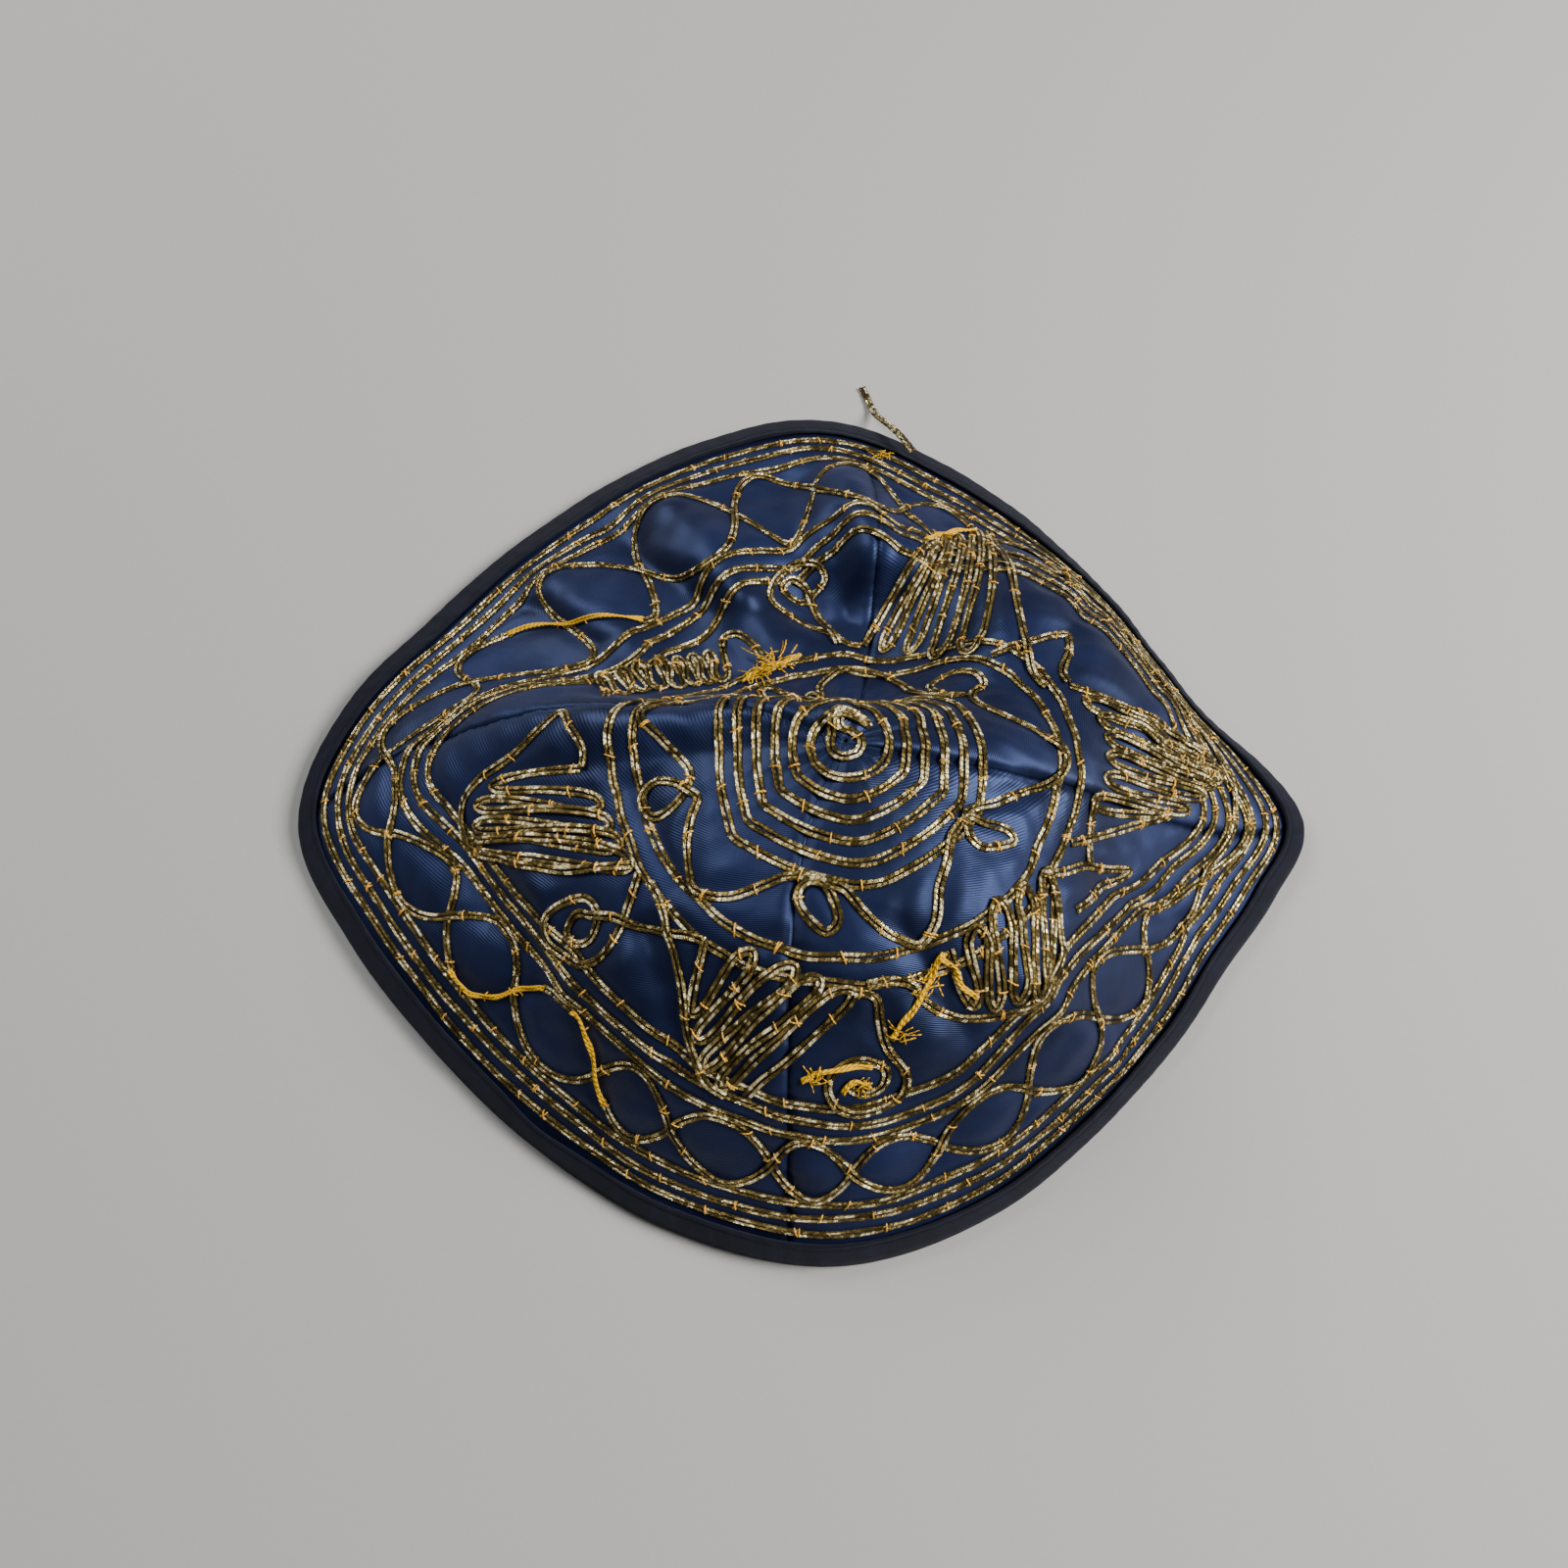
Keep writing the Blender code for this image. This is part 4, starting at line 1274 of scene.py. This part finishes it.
def gore_mesh(first_turn):
    """Work out one gore as a wall of cloth: vertices, faces and grain."""
    turn = first_turn + np.linspace(0, 90, GORE_COLUMNS + 1)
    turn[0] += 0.02
    turn[-1] -= 0.02
    length = from_rim(turn, 0.3)
    row = np.linspace(0, 1, GORE_ROWS + 1) ** 0.9
    row[0] = 0.004
    turns = np.broadcast_to(turn[:, None], (len(turn), len(row)))
    distances = length[:, None] * row[None, :]
    points, normals = place(turns, distances)
    skin = (points + normals * CLOTH / 2).reshape(-1, 3)
    relief = cloth_relief(turns.ravel(), distances.ravel(), skin).reshape(turns.shape)[..., None]
    outside = points + normals * (CLOTH / 2 + relief)
    inside = points - normals * (CLOTH / 2 - relief * 0.35)
    steps = np.linalg.norm(np.diff(points, axis=0), axis=2)
    across = np.concatenate([np.zeros((1, len(row))), np.cumsum(steps, axis=0)])
    across -= across[-1] / 2
    grain = np.stack([across, distances * MM], axis=-1).reshape(-1, 2)
    vertices = np.concatenate([outside.reshape(-1, 3), inside.reshape(-1, 3)])
    rows, columns = len(row), len(turn)
    size = rows * columns
    number = np.arange(size).reshape(columns, rows)
    a, b = number[:-1, :-1].ravel(), number[1:, :-1].ravel()
    c, d = number[1:, 1:].ravel(), number[:-1, 1:].ravel()
    faces = np.stack([a, d, c, b], axis=1).tolist()
    faces += (np.stack([a, b, c, d], axis=1) + size).tolist()
    for edge, flip in ((number[:, -1], False), (number[:, 0], True),
                       (number[0], False), (number[-1], True)):
        low, high = edge[:-1], edge[1:]
        wall = np.stack([low, low + size, high + size, high], axis=1)
        faces += (wall[:, ::-1] if flip else wall).tolist()
    return vertices, faces, np.concatenate([grain, grain])


def tape_mesh():
    """Work out the edge tape, folded over the rim: vertices, faces and grain."""
    count = TAPE_STATIONS
    turn = np.arange(count) * 360 / count
    rim, rim_out = place(turn, from_rim(turn, 0))
    round_way = np.roll(rim, -1, axis=0) - np.roll(rim, 1, axis=0)
    outward = np.stack([round_way[:, 1], -round_way[:, 0], 0 * round_way[:, 2]], axis=-1)
    outward = unit(outward)
    foot = rim * (1, 1, 0)
    up = np.array((0, 0, 1.0))
    ripple = (1 + 0.10 * wander(turn, 1.0, 3) + 0.05 * np.sin(np.radians(turn) * 140))[:, None]
    join = np.exp(-((turn - TAPE_JOIN) / TAPE_JOIN_SPREAD) ** 2)
    width = TAPE_WIDTH / MM + wander(turn, 0.10, 8) - TAPE_JOIN_NARROWS * join

    def on_cloth(share, lift):
        at, out = place(turn, from_rim(turn, width * share))
        return at + out * lift

    rise = TAPE_OUTSIDE * ripple
    outer = [on_cloth(1.0, TAPE_INSIDE * 1.15), on_cloth(0.97, rise * 0.93)]
    outer += [on_cloth(share, rise) for share in (0.88, 0.80, 0.76, 0.70, 0.52, 0.34, 0.17)]
    outer[4] -= rim_out * TAPE_GROOVE * MM
    outer += [
        rim + rim_out * rise,
        foot + outward * TAPE_OUTSIDE + up * EDGE_HEIGHT * 0.45,
        foot + outward * TAPE_OUTSIDE * 0.75 + up * EDGE_HEIGHT * 0.04,
        foot + outward * TAPE_OUTSIDE * 0.45,
        foot - outward * TAPE_OUTSIDE * 0.45,
    ]
    inner = [on_cloth(share, -TAPE_OUTSIDE) for share in (HEM / TAPE_WIDTH, 0.6, 1.0)]
    inner += [on_cloth(share, -TAPE_INSIDE) for share in (1.0, 0.5, HEM / TAPE_WIDTH)]
    inner += [
        foot - outward * TAPE_INSIDE + up * TAPE,
        foot + outward * TAPE_INSIDE + up * TAPE,
        on_cloth(HEM / TAPE_WIDTH, TAPE_INSIDE),
        on_cloth(0.5, TAPE_INSIDE),
    ]
    sections = np.stack(outer + inner, axis=1)
    corners = sections.shape[1]
    steps = np.linalg.norm(np.diff(sections, axis=1), axis=2)
    across = np.concatenate([np.zeros((count, 1)), np.cumsum(steps, axis=1)], axis=1)
    along = np.concatenate([[0], np.cumsum(np.linalg.norm(np.diff(rim, axis=0), axis=1))])
    grain = np.stack([np.broadcast_to(along[:, None], across.shape), across], axis=-1)
    faces = []
    for i in range(count):
        here, there = i * corners, (i + 1) % count * corners
        for j in range(corners):
            k = (j + 1) % corners
            faces.append((here + j, here + k, there + k, there + j))
    return sections.reshape(-1, 3), faces, grain.reshape(-1, 2)


def stitch_runs(lines, random):
    """Bind each line down with stitches: an arch of thread over both strands."""
    size = bpy.context.scene.skullcap_cord
    runs = []
    for line in lines:
        along = line["travelled"]
        at = random.uniform(1, 5) * MM
        while at < along[-1] - 0.8 * MM:
            i = int(np.searchsorted(along, at))
            way = line["points"][(i + 1) % len(along)] - line["points"][i - 1]
            way /= max(np.linalg.norm(way), 1e-9)
            for _ in range(1 if random.random() < 0.8 else 2):
                skew = random.uniform(-0.5, 0.5) * MM
                shift = random.uniform(-0.3, 0.3) * MM
                tail = random.uniform(0.0, 0.4) * MM
                half = size.width + size.gap * 0.5
                share = np.array((-1.0, -0.92, -0.6, 0.0, 0.6, 0.92, 1.0))
                lift = np.array((-0.45, 0.05, 0.62, 0.74, 0.62, 0.05, -0.45)) * size.height
                reach = share * half
                reach[-1] += tail
                lift[-1] += 0.15 * tail
                points = (line["points"][i] + line["side"][i] * reach[:, None]
                          + line["normals"][i] * lift[:, None]
                          + way * (share * skew + shift)[:, None])
                thick = size.stitch / 2 * random.uniform(0.75, 1.15)
                across = np.tile(way * thick, (len(share), 1))
                flow = np.gradient(points, axis=0)
                up = scaled(np.cross(flow, across), thick)
                runs.append((points, across, up, False, random.uniform(0, 9)))
            at += size.stitch_spacing * random.uniform(0.45, 1.6)
    return runs


def core_runs(lines):
    """Lay bare core on the stretches that have lost their wrapping."""
    paths = [unflatten(round_off(flatten(rows))) for rows in BARE_CORE.values()]
    for wave, first, last in LATTICE_BARE:
        line = next(line for line in lines if line["name"] == f"lattice_{wave + 1}")
        inside = (line["turn"] > first - 0.6) & (line["turn"] < last + 0.6)
        paths.append((line["turn"][inside], line["distance"][inside]))
    runs = []
    for number, (turn, distance) in enumerate(paths):
        points, normals = place(turn, distance)
        way = np.gradient(points, axis=0)
        side = unit(np.cross(way, normals))
        for strand in (-CORE_BESIDE, CORE_BESIDE):
            along = np.arange(len(points)) * STATION_STEP
            offset = (strand + 0.12 * np.sin(along * 1.1 + number + strand)) * MM
            rise = CLOTH / 2 + CORE_LIFT * MM + 0.16 * MM * np.sin(along * 0.9 + strand * 9)
            centre = points + side * offset[:, None] + normals * rise[:, None]
            thick = CORE_THICKNESS * MM * (1 + 0.15 * np.sin(along * 1.7 + number))
            runs.append((centre, side * thick[:, None], normals * thick[:, None], False, number))
    return runs


def fibre_runs(random):
    """Fray the core into tufts of fine curved fibres."""
    runs = []
    for turn, distance, spread, count in TUFTS:
        middle, out = place(np.array([turn]), np.array([distance]))
        middle, out = middle[0], out[0]
        side = np.cross(out, (0.3, 1, 0.2))
        side /= np.linalg.norm(side)
        other = np.cross(out, side)
        for _ in range(count):
            angle = random.uniform(0, 2 * math.pi)
            way = side * math.cos(angle) + other * math.sin(angle)
            aside = side * random.normal(0, 0.3) + other * random.normal(0, 0.3)
            start = middle + aside * spread * MM
            start = start + out * (CLOTH / 2 + random.uniform(0.2, 1.0) * MM)
            length = spread * random.uniform(0.5, 1.3) * MM
            bend = np.cross(out, way) * random.uniform(-0.5, 0.5)
            climb = random.uniform(0.0, 0.55)
            t = np.linspace(0, 1, 7)[:, None]
            points = start + length * (way * t + bend * t * t + out * climb * t * (1.3 - t))
            thick = random.uniform(0.07, 0.14) * MM
            flow = np.gradient(points, axis=0)
            across = scaled(np.cross(flow, out), thick)
            up = scaled(np.cross(flow, across), thick)
            runs.append((points, across, up, False, random.uniform(0, 9)))
    return runs


class SKULLCAP_OT_gores(bpy.types.Operator):
    """Make the four satin gores, puffed between the cords and creased"""

    bl_idname = "skullcap.gores"
    bl_label = "Satin gores"

    def execute(self, context):
        for name, node, first_turn, light, lean in GORES:
            satin = satin_finish(f"{name}_satin", light, lean)
            piece = new_piece(name, *gore_mesh(first_turn), satin, "satin")
            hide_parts(node)
        return {"FINISHED"}


class SKULLCAP_OT_edge_tape(bpy.types.Operator):
    """Fold the tape over the rim, with the groove of its stitching"""

    bl_idname = "skullcap.edge_tape"
    bl_label = "Edge tape"

    def execute(self, context):
        tape = finish_named("navy_tape", tape_finish)
        piece = new_piece("edge_tape", *tape_mesh(), tape, "tape")
        smooth = piece.modifiers.new("smooth", "SUBSURF")
        smooth.levels = 1
        smooth.render_levels = 1
        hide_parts("rim_binding")
        return {"FINISHED"}


class SKULLCAP_OT_lines(bpy.types.Operator):
    """Couch the lines of cord that the solids hold: rim, inner, rings and spiral"""

    bl_idname = "skullcap.lines"
    bl_label = "Ring and rim lines"

    def execute(self, context):
        gold = finish_named("wrapped_gold", gold_finish)
        nodes = {f"rim_line_{i}": f"rim_cord_{i}" for i in (1, 2, 3)}
        nodes |= {f"inner_line_{i}": f"inner_cord_{i}" for i in (1, 2, 3)}
        nodes |= {f"crown_ring_{i}": f"crown_ring_{i}" for i in (1, 2)}
        nodes["spiral"] = "crown_spiral"
        for line in group_lines("rim", "inner", "ring", "spiral"):
            mesh = tube_mesh(strand_runs([line]), CORD_SIDES)
            piece = new_piece(f"{line['name']}_strands", *mesh, gold, "gold_cord")
            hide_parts(nodes[line["name"]])
        return {"FINISHED"}


class SKULLCAP_OT_motifs(bpy.types.Operator):
    """Couch the lattice, the star, the combs and the curls"""

    bl_idname = "skullcap.motifs"
    bl_label = "Lattice and motifs"

    def execute(self, context):
        gold = finish_named("wrapped_gold", gold_finish)
        for group in ("lattice", "star", "comb", "curl"):
            lines = group_lines(group)
            skip = [(line["number"], first, last) for line in lines
                    for wave, first, last in LATTICE_BARE if line["name"] == f"lattice_{wave + 1}"]
            mesh = tube_mesh(strand_runs(lines, skip), CORD_SIDES)
            new_piece(f"{group}_strands", *mesh, gold, "gold_cord")
        return {"FINISHED"}


class SKULLCAP_OT_threads(bpy.types.Operator):
    """Sew the cords down, and lay the bare core and its frayed tufts"""

    bl_idname = "skullcap.threads"
    bl_label = "Stitches and tufts"

    def execute(self, context):
        cord = context.scene.skullcap_cord
        random = np.random.default_rng(7)
        thread = thread_finish("couching_thread", tuple(cord.thread))
        mesh = tube_mesh(stitch_runs(laid_lines(), random), STITCH_SIDES)
        new_piece("couching_stitches", *mesh, thread, "gold_cord")
        gold = finish_named("wrapped_gold", gold_finish)
        mesh = tube_mesh(loose_end_runs(), CORD_SIDES)
        new_piece("loose_cord_end", *mesh, gold, "gold_cord")
        core = finish_named("yellow_core", core_finish)
        mesh = tube_mesh(core_runs(laid_lines()), CORD_SIDES)
        new_piece("bare_core", *mesh, core, "gold_cord")
        mesh = tube_mesh(fibre_runs(random), FIBRE_SIDES)
        new_piece("frayed_core", *mesh, core, "gold_cord")
        return {"FINISHED"}


def soft_light(name, energy, size, location, aim, colour):
    """Hang one square soft light that looks at a point."""
    light = bpy.data.lights.new(name, "AREA")
    light.energy = energy
    light.size = size
    light.color = colour
    lamp = bpy.data.objects.new(name, light)
    lamp.location = location
    lamp.rotation_euler = (aim - Vector(location)).to_track_quat("-Z", "Y").to_euler()
    bpy.context.scene.collection.objects.link(lamp)


class SKULLCAP_OT_stage(bpy.types.Operator):
    """Set up the camera, the floor and the soft light"""

    bl_idname = "skullcap.stage"
    bl_label = "Stage"

    def execute(self, context):
        stage = context.scene.skullcap_stage
        aim = Vector(AIM) * MM
        camera = bpy.data.cameras.new("camera")
        camera.lens = LENS
        camera.sensor_width = SENSOR
        camera.clip_start, camera.clip_end = SIGHT
        holder = bpy.data.objects.new("camera", camera)
        back = Vector((0, -math.cos(stage.elevation), math.sin(stage.elevation)))
        holder.location = aim + back * stage.distance
        holder.rotation_euler = (-back).to_track_quat("-Z", "Y").to_euler()
        context.scene.collection.objects.link(holder)
        context.scene.camera = holder

        half = FLOOR_HALF
        mesh = bpy.data.meshes.new("floor")
        mesh.from_pydata([(-half, -half, 0), (half, -half, 0), (half, half, 0), (-half, half, 0)],
                         [], [(0, 1, 2, 3)])
        mesh.materials.append(floor_finish())
        floor = bpy.data.objects.new("floor", mesh)
        context.scene.collection.objects.link(floor)

        for name, energy, size, location, colour in LIGHTS:
            soft_light(name, energy, size, location, aim, colour)
        world = bpy.data.worlds.new("studio")
        world.use_nodes = True
        sky = world.node_tree.nodes["Background"]
        sky.inputs["Color"].default_value = (*SKY_COLOUR, 1)
        sky.inputs["Strength"].default_value = SKY_STRENGTH
        context.scene.world = world
        return {"FINISHED"}


class SKULLCAP_PT_panel(bpy.types.Panel):
    """The skullcap's sizes, colours and steps, in the order in which it is made"""

    bl_label = "Skullcap"
    bl_space_type = "VIEW_3D"
    bl_region_type = "UI"
    bl_category = "Skullcap"

    def draw(self, context):
        for settings in ("skullcap_cloth", "skullcap_cord", "skullcap_stage"):
            group = getattr(context.scene, settings)
            box = self.layout.box()
            for name in group.bl_rna.properties.keys():
                if name not in ("rna_type", "name"):
                    box.prop(group, name)
        for step in STEPS:
            self.layout.operator(step.bl_idname)


STEPS = (SKULLCAP_OT_gores, SKULLCAP_OT_edge_tape, SKULLCAP_OT_lines, SKULLCAP_OT_motifs,
         SKULLCAP_OT_threads, SKULLCAP_OT_stage)
SETTINGS = (SkullcapCloth, SkullcapCord, SkullcapStage)


def register():
    """Make the settings, steps and panel known to Blender."""
    for kind in SETTINGS + STEPS + (SKULLCAP_PT_panel,):
        bpy.utils.register_class(kind)
    bpy.types.Scene.skullcap_cloth = PointerProperty(type=SkullcapCloth)
    bpy.types.Scene.skullcap_cord = PointerProperty(type=SkullcapCord)
    bpy.types.Scene.skullcap_stage = PointerProperty(type=SkullcapStage)


def unregister():
    """Take the settings, steps and panel away again."""
    del bpy.types.Scene.skullcap_stage
    del bpy.types.Scene.skullcap_cord
    del bpy.types.Scene.skullcap_cloth
    for kind in reversed(SETTINGS + STEPS + (SKULLCAP_PT_panel,)):
        bpy.utils.unregister_class(kind)


def main():
    """Make the whole skullcap."""
    register()
    bpy.ops.skullcap.gores()
    bpy.ops.skullcap.edge_tape()
    bpy.ops.skullcap.lines()
    bpy.ops.skullcap.motifs()
    bpy.ops.skullcap.threads()
    bpy.ops.skullcap.stage()


if __name__ == "__main__":
    main()
